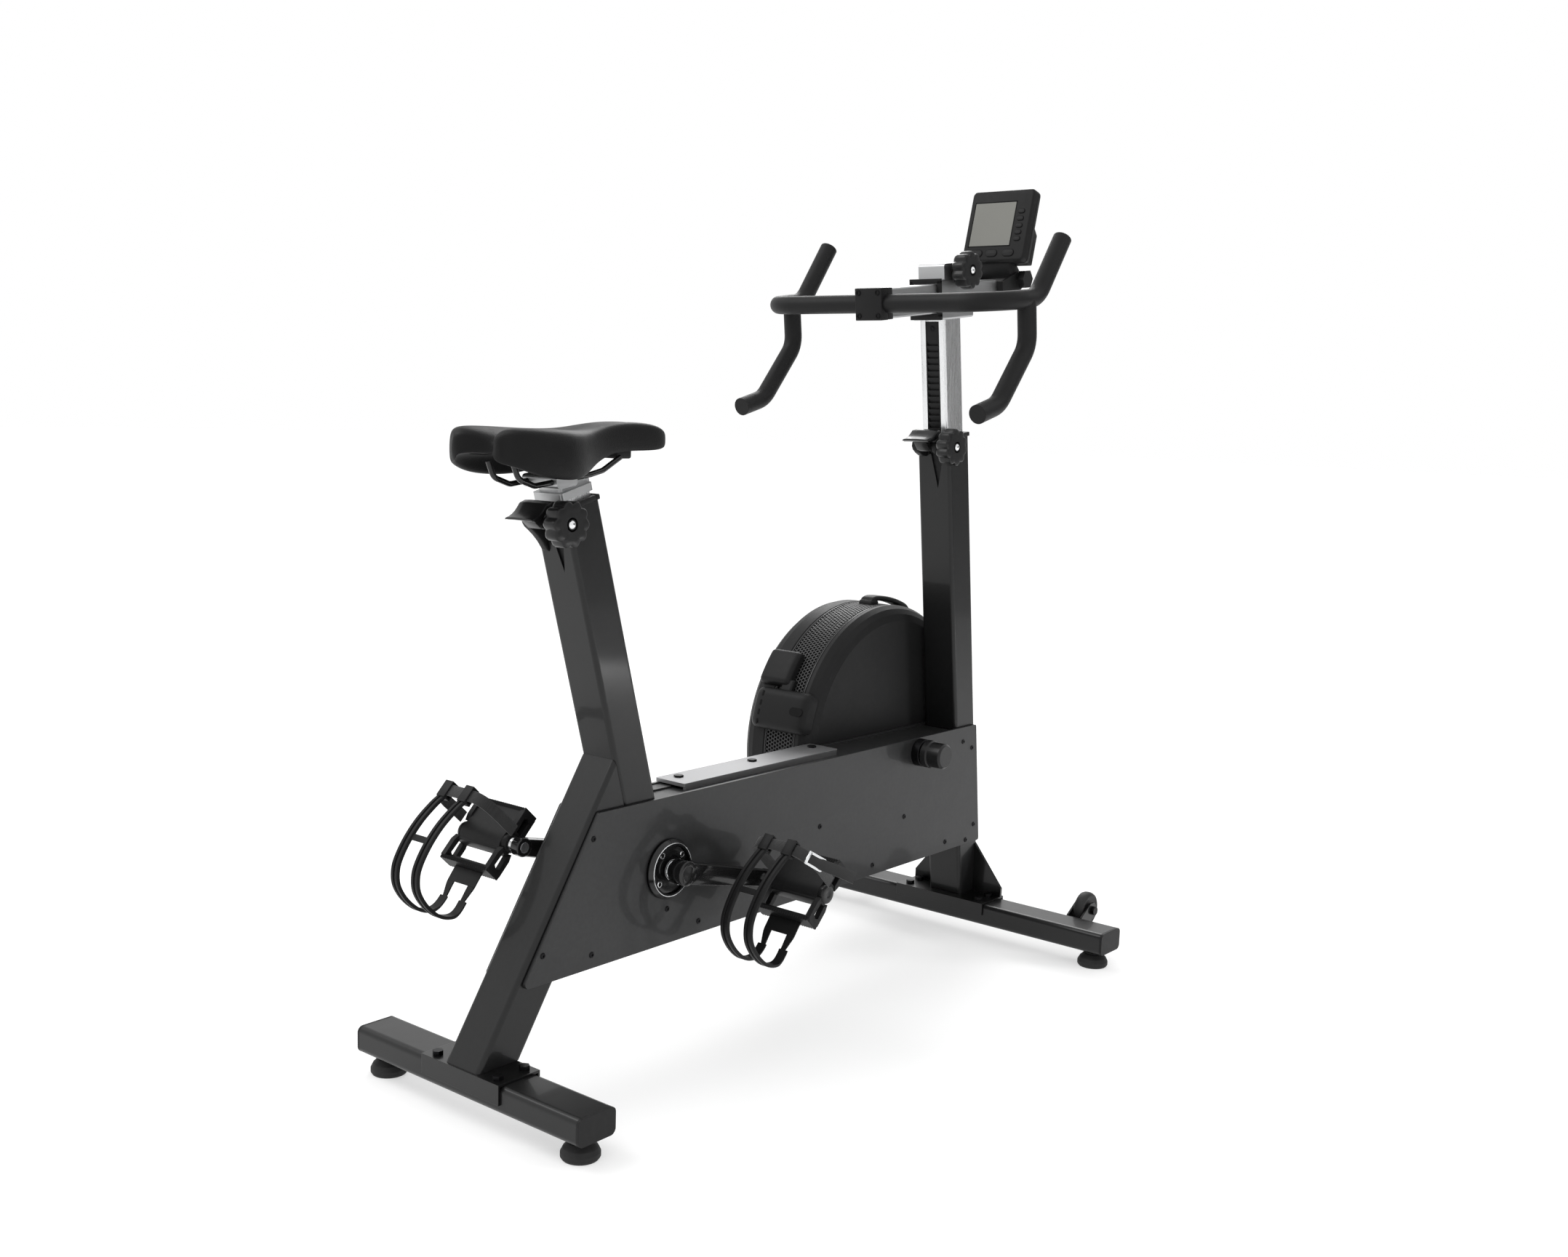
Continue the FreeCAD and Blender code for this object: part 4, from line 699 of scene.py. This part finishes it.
def saddle():
    """A closed crowned form: two rear lobes with a notch between them, a full skirt and a raised nose."""
    rings = [saddle_ring(*section) for section in SADDLE]
    rings.insert(0, capped(rings[0], -3.0, 0.94, 0.72))
    rings.append(capped(rings[-1], 6.8, 0.62, 0.58))
    bm = bmesh.new()
    rows = []
    for ring in rings:
        right = [bm.verts.new(BIKE(x, -y, up)) for x, y, up in ring]
        left = [right[0]] + [bm.verts.new(BIKE(x, y, up)) for x, y, up in ring[1:-1]] + [right[-1]]
        rows.append((right, left))
    for (right_a, left_a), (right_b, left_b) in zip(rows, rows[1:]):
        for step in range(len(right_a) - 1):
            bm.faces.new((right_a[step], right_b[step], right_b[step + 1], right_a[step + 1]))
            bm.faces.new((left_a[step], left_a[step + 1], left_b[step + 1], left_b[step]))
    for side in rows[0] + rows[-1]:
        for step in range(len(side) // 2 - 1):
            bm.faces.new((side[step], side[step + 1], side[-step - 2], side[-step - 1]))
    made = piece("saddle_cover", "saddle_carriage", "seat_cover", bm, angle=180)
    modified(made, "SUBSURF", levels=3, render_levels=3)
    made.data.shade_smooth()
    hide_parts("saddle")
    base = [(14, -46), (40, -56), (80, -57), (106, -44), (132, -30), (160, -22)]
    tray = prism(BIKE, base + [(x, -y) for x, y in reversed(base)], 806.6, 810.5, axis="z")
    socket = block(BIKE, (196, 222), (-22, 22), (803, 818), 3.0)
    piece("saddle_base", "saddle_carriage", "black_plastic", [tray, socket])


saddle()


# ---- pedals

CLIP_RUN = [(-49, -1.5), (-74, -4.2), (-98, -7.2), (-112, -3.5), (-121.5, 9), (-126, 25), (-125.6, 47),
            (-119.5, 67), (-107, 80.5), (-92, 87.5), (-68, 92.2), (-42, 93.0), (-18, 89.8), (3, 84.9),
            (22, 79.8)]
KEEPER_Y = 20.2
KEEPER_X = (1.4, 25.6)


def toe_clip(name, body, place):
    """Two ridged ribs over the toe, joined by a bridge, a sole tongue with a window, and two keepers."""
    line = smooth_line([Vector((x, 0, z)) for x, z in CLIP_RUN])
    centre = Vector((-60, 0, 42))
    normals = []
    for point, run in tangents(line):
        normal = Vector((run.z, 0, -run.x))
        normals.append(-normal if normal.dot(point - centre) < 0 else normal)

    def run_of(start, stop, section_at):
        """A section in (across, out) millimetres carried along part of the line."""
        rows = []
        for count in range(start, stop):
            point, normal = line[count], normals[count]
            rows.append([place(point.x + normal.x * out, across, point.z + normal.z * out)
                         for across, out in section_at(count)])
        return skin(rows)

    def strip(low, high):
        return [(low, 0.2), (low, 2.2), (high, 2.2), (high, 0.2)]

    def sole_half(count):
        """The tongue's half width, which narrows towards the toe."""
        return 26.5 - 5.5 * min(1.0, max(0.0, -72 - line[count].x) / 20)

    def first(test):
        return next(count for count, point in enumerate(line) if test(point))

    sole_end = first(lambda point: point.x < -97.5)
    window = first(lambda point: point.x < -72)
    parts = []
    for side in (-1, 1):
        def rib(count):
            grow = min(1.0, (count - sole_end + 2) / 8)
            mid = side * (KEEPER_Y - 1.6 * (1 - grow))
            ridge = 2.1 + 2.3 * grow * min(1.0, (len(line) - 1 - count) / 9)
            half = [(-7.2, 0.0), (-7.2, 2.1), (-6.0, ridge), (-1.7, ridge), (-1.0, 2.0)]
            return [(mid + a, b) for a, b in half + [(-a, b) for a, b in reversed(half)]]
        parts.append(run_of(sole_end - 2, len(line), rib))
    for low, high in ((-72, -56), (14, 99)):
        found = [count for count, point in enumerate(line) if low < point.x < high and point.z > 50]
        parts.append(run_of(found[0], found[-1] + 1, lambda count: strip(-16.0, 16.0)))
    parts.append(run_of(0, window, lambda count: strip(-sole_half(count), sole_half(count))))
    for side in (-1, 1):
        parts.append(run_of(window - 1, sole_end + 1,
                            lambda count: strip(side * 13.8, side * sole_half(count))))
    made = piece(f"{name}_ribs", body, "black_plastic", parts, angle=50)
    modified(made, "BEVEL", width=0.5 * MM, segments=2, limit_method="ANGLE")
    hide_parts(name)
    keepers = []
    for mid in (-KEEPER_Y, KEEPER_Y):
        for x, z in ((KEEPER_X, (88.0, 90.4)), (KEEPER_X, (77.6, 80.2)), ((1.4, 4.2), (78, 90.2)),
                     ((22.8, 25.6), (78, 90.2))):
            keepers.append(block(place, x, (mid - 7.6, mid + 7.6), z, 0.9, 2))
    piece(f"{name}_keepers", body, "black_plastic", keepers)


STRAP_X = 13.5


def strap(name, body, place, outer):
    """The webbing over the clip and down to both sides, its buckle on the outer side, and its loose tail."""
    arch = [(50.6, 12), (50.6, 30), (50.4, 50), (48.5, 66), (44.5, 77), (36, 84.0), (24, 86.4), (8, 86.6),
            (-8, 86.6), (-20, 86.2), (-30, 81.0), (-41, 71.5), (-49, 62), (-52.2, 50), (-51.4, 36),
            (-50.6, 12)]
    tail = [(27, 84.2, 0), (36, 77.8, 0), (45, 69.4, 0), (54, 62.0, 0), (65, 54.6, 1), (77, 46.2, 3),
            (87, 37, 5), (94, 27, 7)]
    middle = place(STRAP_X, 0, 40)
    section = [(-8, -0.7), (-7.6, -0.9), (7.6, -0.9), (8, -0.7), (8, 0.7), (7.6, 0.9), (-7.6, 0.9), (-8, 0.7)]

    def web(part, points, lift):
        rows = []
        for point, run in tangents(smooth_line(points)):
            out = place.x.cross(run).normalized()
            if out.dot(point - middle) < 0:
                out = -out
            side = run.cross(out).normalized() if lift else place.x
            rows.append([point + side * (a * MM) + out * ((b + lift) * MM) for a, b in section])
        return piece(f"{name}_{part}", body, "strap_web", skin(rows), angle=60)

    loop = web("loop", [place(STRAP_X, -outer * y, z) for y, z in arch], 0.0)
    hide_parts(name)
    web("tail", [place(STRAP_X + dx, outer * y, z) for y, z, dx in tail], 1.3)
    buckle(name, body, place, outer)


def buckle(name, body, place, flat):
    """A bright rectangular wire buckle with its roller, lying on the outer shoulder of the strap."""
    up = Vector((0, flat * 0.66, 0.75)).normalized()
    down = Vector((0, flat * 0.75, -0.66)).normalized()
    centre = Vector((STRAP_X, flat * 50.5, 63.2))

    def at(across, along, out):
        spot = centre + Vector((across, 0, 0)) + down * along + up * out
        return place(spot.x, spot.y, spot.z)

    loop = []
    for sx, sz, start in ((1, -1, -90), (1, 1, 0), (-1, 1, 90), (-1, -1, 180)):
        loop += [at(a, b, 3.0) for a, b in quarter(sx * 6.6, sz * 10.4, 1.6, start, 4)]
    out = (place.y * up.y + place.z * up.z).normalized()
    rows = []
    for count, point in enumerate(loop):
        run = (loop[(count + 1) % len(loop)] - loop[count - 1]).normalized()
        side = run.cross(out).normalized()
        rows.append([point + side * (a * 1.7 * MM) + out * (b * MM) for a, b in circle(1.1, 12)])
    wire = skin(rows, closed_path=True)
    rows = []
    for across, thin in ((-8.6, 0.75), (-8.0, 1.0), (8.0, 1.0), (8.6, 0.75)):
        rows.append([at(across, -10.8 + a * thin, 3.2 + b * thin) for a, b in circle(2.6, 16)])
    piece(f"{name}_buckle", body, "bright_steel", [wire, skin(rows)], angle=60, finish=CHROME)


def pedal(name, body, place, outer):
    """An open platform: side walls with slots, toothed front and rear bars, cross bars and a barrel."""
    parts = []
    wall = [(11, -9.6), (20, -12.6), (44, -12.6), (48.5, -8), (48.5, 8), (44, 12.6), (20, 12.6), (11, 9.6),
            (17, 4.6), (36, 5.6), (39, 0), (36, -5.6), (17, -4.6)]
    for side in (-1, 1):
        for sign in (-1, 1):
            low, high = sorted((side * 47.3, side * 39.3))
            parts.append(prism(place, [(sign * x, z) for x, z in wall], low, high))
    teeth = 25
    deck = [(-14, 8.6), (-9, 11.8), (0, 13.3), (9, 12.6), (20, 10.4), (33, 9.8), (43.8, 10.6), (43.8, 8.2),
            (20, 7.4), (-12, 6.4)]
    for sign in (-1, 1):
        edge = []
        for row_z, root_z in ((12.7, 10.5), (-12.7, -10.5)):
            line = [(-46.5, row_z)]
            for step in range(1, teeth):
                y = -46.5 + 93 * step / (teeth - 1)
                line += [(y - 1.3, row_z), (y, root_z), (y + 0.6, root_z)]
            edge.append(line)
        low, high = sorted((sign * 43.6, sign * 48.8))
        parts.append(prism(place, edge[0] + edge[1][::-1], low, high, axis="x"))
        for x, half in ((12, 16.5), 9.5), ((38.8, 44), 6):
            span = tuple(sorted(sign * part for part in x))
            parts.append(block(place, span, (-46, 46), (-half, half), 1.0, 2))
        parts.append(prism(place, [(x, sign * z) for x, z in deck], -39.4, 39.4))
    made = piece(f"{name}_cage", body, "black_plastic", parts, angle=35)
    barrel = [(7.3, -47.2), (10.8, -47.2), (12.6, -45.4), (12.9, -42), (12.9, -14), (12.2, -12.6)]
    barrel += [(radius, -y) for radius, y in reversed(barrel)]
    piece(f"{name}_barrel", body, "black_plastic", turned(place, barrel, 56))
    cap = [(0.1, 46.9), (4.0, 47.0), (4.8, 47.45), (10.6, 47.45), (12.6, 46.8), (13.3, 45.4), (13.3, 43),
           (0.1, 43)]
    cap = [(radius, outer * y) for radius, y in cap]
    piece(f"{name}_cap", body, "gloss_black", turned(place, cap, 48), angle=50)
    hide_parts(name)


for side_name, side in SIDES:
    ridden = f"{side_name}_pedal"
    pedal(f"pedal_{side_name}", ridden, PEDALS[side_name], side)
    toe_clip(f"toe_clip_{side_name}", ridden, PEDALS[side_name])
    strap(f"toe_strap_{side_name}", ridden, PEDALS[side_name], side)


# ---- handlebar, stem and console

BAR_Y = 220.0


def bar_ends():
    """Flat rounded ends in the four grips."""
    horn_run = Vector((0.674, 0, 0.738)).normalized()
    drop_run = Vector((-0.989, 0, -0.148)).normalized()
    profile = ((11.6, -6), (11.6, -0.9), (13.2, -0.9), (13.9, -1.3), (13.9, -0.6), (13.0, -0.1), (0.1, -0.05))
    for side_name, side in SIDES:
        for kind, spot, run in (("horn", (2.3, 1080), horn_run), ("drop", (-236.8, 844), drop_run)):
            across = Vector((run.z, 0, -run.x))
            end = Vector((spot[0], side * BAR_Y, spot[1]))
            rows = []
            for radius, out in profile:
                ring = [end + run * out + across * a + Vector((0, b, 0)) for a, b in circle(radius, 40)]
                rows.append([MAST(*point) for point in ring])
            piece(f"bar_end_{kind}_{side_name}", "stem_carriage", "bar_black", skin(rows), angle=50)


def bar_clamp():
    """The clamp's front block with four dark socket screws, and its rear half."""
    profile = ((4.4, 0.6), (4.4, -0.7), (3.9, -1.1), (2.3, -1.1), (2.1, 0.5), (0.1, 0.5))
    for count in range(4):
        y = (-17.5, 17.5)[count // 2]
        s = (-17.2, 17.2)[count % 2]
        rings = [[MAST(-190 + depth, y + a, 997 + s + b) for a, b in circle(radius, 24)]
                 for radius, depth in profile]
        piece(f"clamp_screw_{count + 1}", "stem_carriage", "fastener_steel", skin(rings), 35, BLACK_TRIM_AND_SHADE)
    front = block(MAST, (-190, -172.8), (-24.4, 24.4), (973.2, 1020.8), 1.2)
    made = piece("bar_clamp_block", "stem_carriage", "black_plastic", front)
    rear = block(MAST, (-172.5, -160), (-24.0, 24.0), (973.6, 1020.4), 1.0, 2)
    piece("bar_clamp_saddle", "stem_carriage", "black_plastic", rear)
    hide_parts("bar_clamp")


def stem_bush():
    """The black bush flange round the stem, on the rear end of its collar."""
    parts = []
    for y, s in (((-29.3, 29.3), (1019.9, 1027.8)), ((-29.3, 29.3), (964.7, 974.1)),
                 ((-29.3, -22.4), (969, 1025)), ((22.4, 29.3), (969, 1025))):
        parts.append(block(MAST, (-40.6, -35.8), y, s, 0.8, 2))
    piece("stem_bush", "bar_column", "black_plastic", parts)


bar_ends()
bar_clamp()
stem_bush()


def console():
    """A slim moulded case with soft corners, a framed display and a hinge neck."""
    half = 59.6
    tall = 121.4
    corner = 7.0
    face = []
    for cy, cz, start in ((half - corner, tall - corner, 0), (-half + corner, tall - corner, 90),
                          (-half + corner, corner + 0.2, 180), (half - corner, corner + 0.2, 270)):
        face += quarter(cy, cz, corner, start, 6)
    mid_z = tall / 2
    rings = []
    for depth, inset in ((21.8, 3.0), (21.0, 1.2), (19.2, 0.4), (13.5, 0.1), (12.9, 0.9), (12.2, 0.9),
                         (11.6, 0.1), (3.2, 0.2), (1.4, 0.9), (0.4, 2.2), (0.05, 4.0)):
        rings.append([CONSOLE(depth, y * (1 - inset / half), mid_z + (z - mid_z) * (1 - inset / mid_z))
                      for y, z in face])
    deep = prism(CONSOLE, [(20, 3), (36.5, 3), (36.5, 54), (24, 64), (20, 64)], -56, 56, 2.5)
    made = piece("console_shell", "console", "black_plastic", [skin(rings), deep])
    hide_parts("console_case")
    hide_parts("console_screen")
    lcd = block(CONSOLE, (-0.02, 1.5), (-28.1, 49.2), (27.1, 99.9))
    piece("console_display", "console", "screen_glass", lcd)
    bezel = []
    for y, z in (((-30.2, -28.2), (25, 102)), ((49.3, 51.3), (25, 102)), ((-30.2, 51.3), (25, 27)),
                 ((-30.2, 51.3), (100, 102))):
        bezel.append(block(CONSOLE, (-0.05, 1.0), y, z, 0.3, 2))
    piece("console_bezel", "console", "black_plastic", bezel, finish=BLACK_TRIM_AND_SHADE)
    neck = [(8.5, 3), (34.5, 3), (46, -3.4), (38, -25), (22, -22), (12, -10)]
    neck = prism(CONSOLE, neck, -29.6, 29.6, 1.5, 2)
    hinge = Place(CONSOLE(HINGE_X, 0, HINGE_Z), CONSOLE.z)
    barrel = [(4.1, -29.8), (11.8, -29.8), (12.8, -28.8), (12.8, 28.8), (11.8, 29.8), (4.1, 29.8)]
    piece("console_neck", "console", "black_plastic", [neck, turned(hinge, barrel, 56)])


def keys():
    """A pill cap for each key, where the plain key stands, and a dark rim round it that is painted shade of the
    gap.
    """
    for name in list(frame["nodes"]):
        if "_button_" not in name:
            continue
        low, high = (Vector(corner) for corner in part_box(name))
        middle = (low + high) / 2
        y = middle.y / MM
        z = (middle - CONSOLE.origin).dot(CONSOLE.z) / MM
        wide, tall = (12.0, 7.0) if name.startswith("side") else (21.0, 11.5)
        cap = prism(CONSOLE, shifted(pill(wide - 0.2, tall - 0.2), y, z), -1.5, 4.0, 0.7, 3, "x", 50)
        made = piece(f"{name}_cap", f"{name}_key", "key_plastic", cap, angle=50)
        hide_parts(name)
        # The rim is painted shade of the gap round the key, in the near-black finish.
        rim = prism(CONSOLE, shifted(pill(wide + 1.4, tall + 1.4), y, z), -0.02, 0.4, axis="x")
        piece(f"{name}_rim", "console", "black_plastic", rim, angle=50, finish=BLACK_TRIM_AND_SHADE)


console()
keys()


# ---- fan furniture

def eased(edge, reach):
    """A quarter round: rises from 0 at an end to 1 at a distance from it."""
    return 1.0 if edge >= reach else math.sqrt(max(0.0, 1 - (1 - edge / reach) ** 2))


def arc_pad(start, end, low, high, tall, round_off=5.0, sink=0.8):
    """A soft block on the fan's rim: angles in degrees from +X, y stations and heights in millimetres."""
    side = [(-1.0, -sink), (-1.0, 0.45), (-0.975, 0.68), (-0.9, 0.86), (-0.78, 0.96), (-0.6, 1.0)]
    section = side + [(0.0, 1.0)] + [(-across, out) for across, out in reversed(side)]
    steps = 28
    span = math.radians(end - start) * FAN_R
    rows = []
    for step in range(steps + 1):
        arc = span * step / steps
        ease = eased(min(arc, span - arc), round_off)
        turn = math.radians(start) + arc / FAN_R
        height = tall * (0.10 + 0.90 * ease)
        width = (high - low) / 2 * (1 - 0.16 * (1 - ease))
        ring = []
        for across, out in section:
            radius = FAN_R + (height * out if out > 0 else out)
            ring.append(FAN.round(radius, turn, (high + low) / 2 + across * width))
        rows.append(ring)
    return skin(rows)


def fan_grip():
    """A rounded lifting bar over the rim, with feet and a finger slot under it."""
    rows = []
    steps = 40
    for step in range(steps + 1):
        share = step / steps
        turn = math.radians(63.5 + 28 * share)
        ease = eased(min(share, 1 - share), 0.16)
        centre = FAN_R + 1.8 + 6.6 * ease
        rows.append([FAN.round(centre + b, turn, 93 + a) for a, b in pill(25.0, 5.2 + 3.2 * ease, 6)])
    return all_of(skin(rows), arc_pad(62.5, 68.0, 80, 106, 6, 4.0), arc_pad(87.0, 92.5, 80, 106, 6, 4.0))


def painted_hole_shade(degrees, y, wide, tall, steps, high, reach=17):
    """A dark pill on the top of a rim block: painted shade that stands for a recess."""
    turn = math.radians(degrees)
    spot = FAN((FAN_R + reach) * math.cos(turn), y, (FAN_R + 17) * math.sin(turn))
    mark = Place(spot, (math.cos(turn), 0, math.sin(turn)))
    return prism(mark, pill(wide, tall, steps), -0.8, high, axis="z")


def fan_furniture():
    """The lifting handle, the rim blocks with their slot and vents as painted shade, the near lip and two dark
    rings painted as the shade in the band's edge grooves.
    """
    parts = [fan_grip(), arc_pad(153.5, 170.5, 39, 144.0, 17, 14.0, 9.0),
             arc_pad(137, 152.5, 91, 150.0, 14, 9.0, 7.0), arc_pad(149, 155, 84, 106, 8)]
    made = piece("fan_rim_blocks", "base", "black_plastic", parts, angle=50)
    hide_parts("fan_handle")
    # The slot and the vents are dark pills: painted shade of recesses that the block does not have.
    slot_shade = painted_hole_shade(162, 56, 13, 25, 8, 0.6, 16.8)
    piece("fan_block_slot_shade", "base", "black_plastic", slot_shade, finish=BLACK_TRIM_AND_SHADE)
    vents = [painted_hole_shade(157 + 3.6 * count, 128, 9, 3.2, 4, 0.2) for count in range(4)]
    piece("fan_block_vent_shades", "base", "black_plastic", vents, finish=BLACK_TRIM_AND_SHADE)
    lip = [(3, 54.6), (0.9, 54.6), (0.1, 55.4), (0.1, 60.2), (0.9, 60.9), (3, 60.9)]
    lip = turned(FAN, [(FAN_R - inner, y) for inner, y in lip], FINE)
    piece("fan_near_lip", "base", "black_plastic", lip)
    # Two thin near-black rings at the band's edges: painted shade of grooves.
    fan_ring("fan_near_groove_shade", "black_plastic", 3, 0.3, 60.4, 63.4, BLACK_TRIM_AND_SHADE)
    fan_ring("fan_far_groove_shade", "black_plastic", 3, 0.3, 121.6, 124.6, BLACK_TRIM_AND_SHADE)


fan_furniture()


# ---- crank, bearings and transport wheels

def drive_details():
    """The flange, chrome rim, recessed disc, bolts and silver collar of each crank bearing."""
    for side_name, side in SIDES:
        def lathe(profile, place=CRANK, steps=72):
            return turned(place, [(radius, side * station) for radius, station in profile], steps)
        flange = [(36.4, 36.5), (40.9, 36.5), (40.9, 39.2), (40.0, 40.6), (37.3, 45.2), (36.4, 45.4)]
        piece(f"bearing_flange_{side_name}", "base", "crank_black", lathe(flange))
        rim = [(34.9, 38.0), (36.4, 38.0), (36.6, 45.4), (36.2, 46.2), (35.5, 46.2), (34.9, 45.4)]
        piece(f"bearing_rim_{side_name}", "base", "silver_paint", lathe(rim), finish=CHROME)
        sleeve = [(10.1, 42.4), (13.4, 42.4), (14.2, 43.2), (14.2, 45.6), (12.6, 46.0), (12.6, 50.0),
                  (10.1, 50.0)]
        piece(f"crank_sleeve_{side_name}", "crank", "bright_steel", lathe(sleeve), finish=CHROME)
        disc = [(35.0, 36.6), (35.0, 41.0), (34.4, 41.8), (18.5, 42.0), (17.6, 41.8), (10.4, 41.8),
                (10.4, 36.6)]
        piece(f"bearing_disc_{side_name}", "base", "crank_black", lathe(disc))
        for count in range(4):
            turn = math.radians(38 + 90 * count)
            mark = Place(CRANK.round(27, turn, side * 41.6), (0, 0, 1))
            ring = lathe([(4.3, -0.4), (4.3, 0.9), (3.6, 1.3), (3.0, 1.3), (3.0, -0.4)], mark, 28)
            piece(f"bearing_bolt_rim_{side_name}_{count + 1}", "base", "bright_steel", ring, finish=CHROME)
            # The bolt's centre in the near-black finish is painted shade of its socket.
            dot = lathe([(0.1, -0.4), (0.1, 0.7), (2.9, 0.9), (2.9, -0.4)], mark, 24)
            piece(f"bearing_bolt_{side_name}_{count + 1}", "base", "fastener_steel", dot, finish=BLACK_TRIM_AND_SHADE)


drive_details()


def boss(place, bore, radius, edge, chamfer, reach, steps):
    """A round boss with chamfered ends, between two y stations."""
    low, high = reach
    return turned(place, [(bore, low), (edge[0], low), (radius, low + chamfer), (radius, high - chamfer),
                          (edge[1], high), (bore, high)], steps)


def arm(name, side, turn):
    """A glossy tapered arm with a round boss, a soft-edged bar and a domed dust cap."""
    place = Place(CRANK.origin, leaning(turn))
    corners = [(-1, -0.45), (-0.86, -0.86), (-0.5, -1), (0.5, -1), (0.86, -0.86), (1, -0.45)]
    corners += [(a, -b) for a, b in reversed(corners)]
    rows = []
    for x, half, thick in ((6, 15.8, 7.3), (30, 15.2, 7.2), (80, 14.3, 6.9), (130, 13.2, 6.8),
                           (158, 12.6, 6.8), (170, 12.4, 6.8)):
        rows.append([place(x, side * 67.5 + b * thick, a * half) for a, b in corners])
    root = boss(place, 10.05, 16.8, (14.6, 14.8), 1.8, sorted((side * 50.2, side * 74.6)), 64)
    eye_place = Place(place(172.0, 0, 0), place.z)
    eye = boss(eye_place, 7.05, 12.8, (11.6, 11.6), 1.4, sorted((side * 60.2, side * 74.8)), 48)
    made = piece(f"{name}_bar", "crank", "crank_black", [skin(rows), root, eye])
    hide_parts(name)
    cap = [(0.1, 74.4), (4, 74.4), (9.8, 73.6), (12.2, 74.2), (13.2, 74.8), (13.6, 74.0), (13.6, 70),
           (0.1, 70)]
    cap = turned(place, [(radius, side * y) for radius, y in cap], 56)
    piece(f"{name}_dust_cap", "crank", "gloss_black", cap, angle=50)


arm("crank_arm_right", -1, 13.8)
arm("crank_arm_left", 1, 193.8)


def wheel(name, body, side):
    """A solid rubber wheel with a full round tread, a hub and a dark bore."""
    place = Place(BIKE(1100, side * 225.0, 66.0), (0, 0, 1))
    profile = [(4.05, -9.8), (8.4, -9.8), (9.2, -9.0), (9.6, -7.6), (18, -7.4), (20.5, -8.6), (24, -8.9),
               (26.6, -7.4), (28.1, -4.2), (28.5, 0)]
    profile += [(radius, -y) for radius, y in reversed(profile[:-1])]
    made = piece(f"{name}_tyre", body, "wheel_tread", turned(place, profile, 72), angle=50)
    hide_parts(name)


wheel("transport_wheel_right", "right_wheel", -1)
wheel("transport_wheel_left", "left_wheel", 1)


# ---- studio

def staged(name, bm, low, high, scale, **values):
    """A floor or card of the studio, in a plain grey between two levels."""
    data = mesh_of(name, bm, recalculate=False)
    made = bpy.data.objects.new(name, data)
    bpy.context.scene.collection.objects.link(made)
    n = Nodes(name)
    n.set(Base_Color=n.ramp(n.noise(scale, 2), (low, low, low), (high, high, high)), **values)
    data.materials.append(n.material)
    return made


def flag(spot, target, wide, tall):
    """A dark studio card beside the set, which keeps the sides of the bike from washing out."""
    facing = Vector((target[0] - spot[0], target[1] - spot[1], 0)).normalized()
    along = Vector((-facing.y, facing.x, 0)) * (wide / 2)
    foot = Vector((*spot, 0.02))
    rise = Vector((0, 0, tall))
    bm = bmesh.new()
    bm.faces.new([bm.verts.new(point) for point in (foot - along, foot + along, foot + along + rise,
                                                    foot - along + rise)])
    card = staged("studio_flag", bm, 0.17, 0.21, 2.0, Roughness=1.0, Specular_IOR_Level=0.0)
    card.visible_camera = False


def area(name, place, target, size, power, glossy=True):
    """A square lamp that faces a target, seen in reflections or not."""
    light = bpy.data.lights.new(name, "AREA")
    light.shape = "RECTANGLE"
    light.size = size
    light.size_y = size
    light.energy = power
    lamp = bpy.data.objects.new(name, light)
    lamp.location = place
    lamp.visible_glossy = glossy
    lamp.rotation_euler = (Vector(target) - Vector(place)).to_track_quat("-Z", "Y").to_euler()
    bpy.context.scene.collection.objects.link(lamp)


def studio():
    """A white floor and sky, three soft lamps and a dark card."""
    floor = bmesh.new()
    bmesh.ops.create_grid(floor, x_segments=1, y_segments=1, size=30)
    staged("studio_floor", floor, 0.55, 0.57, 0.6, Roughness=0.9, Specular_IOR_Level=0.2,
           Emission_Color=(1, 1, 1, 1), Emission_Strength=0.48)
    world = bpy.data.worlds.new("studio")
    world.use_nodes = True
    background = world.node_tree.nodes["Background"]
    background.inputs["Color"].default_value = (1.0, 1.0, 1.0, 1)
    background.inputs["Strength"].default_value = 1.0
    bpy.context.scene.world = world
    area("key_light", (-1.6, 1.6, 3.2), (0.1, 0, 0.5), 2.0, 40)
    area("rim_light", (2.6, 1.8, 2.6), (0.1, 0, 0.7), 1.6, 40)
    area("side_light", (1.95, -2.6, 0.32), (-0.1, -0.05, 0.28), 0.45, 60, False)
    flag((3.4, -3.0), (0.1, 0.0), 5.6, 2.6)


def camera():
    """The viewpoint: where the eye is, its heading, pitch and roll in degrees, and the lens."""
    eye = BIKE(-1272.4, -1497.7, 875.6)
    yaw, pitch, roll = (math.radians(turn) for turn in (39.2068, -7.7037, 1.8292))
    ahead = Vector((math.cos(yaw) * math.cos(pitch), math.sin(yaw) * math.cos(pitch), math.sin(pitch)))
    right = Vector((math.sin(yaw), -math.cos(yaw), 0))
    up = right.cross(ahead)
    right_rolled = right * math.cos(roll) + up * math.sin(roll)
    up_rolled = up * math.cos(roll) - right * math.sin(roll)
    data = bpy.data.cameras.new("camera")
    data.sensor_width = 36.0
    data.sensor_fit = "HORIZONTAL"
    data.lens = 37.82
    eye_object = bpy.data.objects.new("camera", data)
    turn = Matrix((right_rolled, up_rolled, -ahead)).transposed().to_4x4()
    eye_object.matrix_world = Matrix.Translation(eye) @ turn
    bpy.context.scene.collection.objects.link(eye_object)
    bpy.context.scene.camera = eye_object


studio()
camera()
bpy.context.scene.view_settings.view_transform = "Standard"
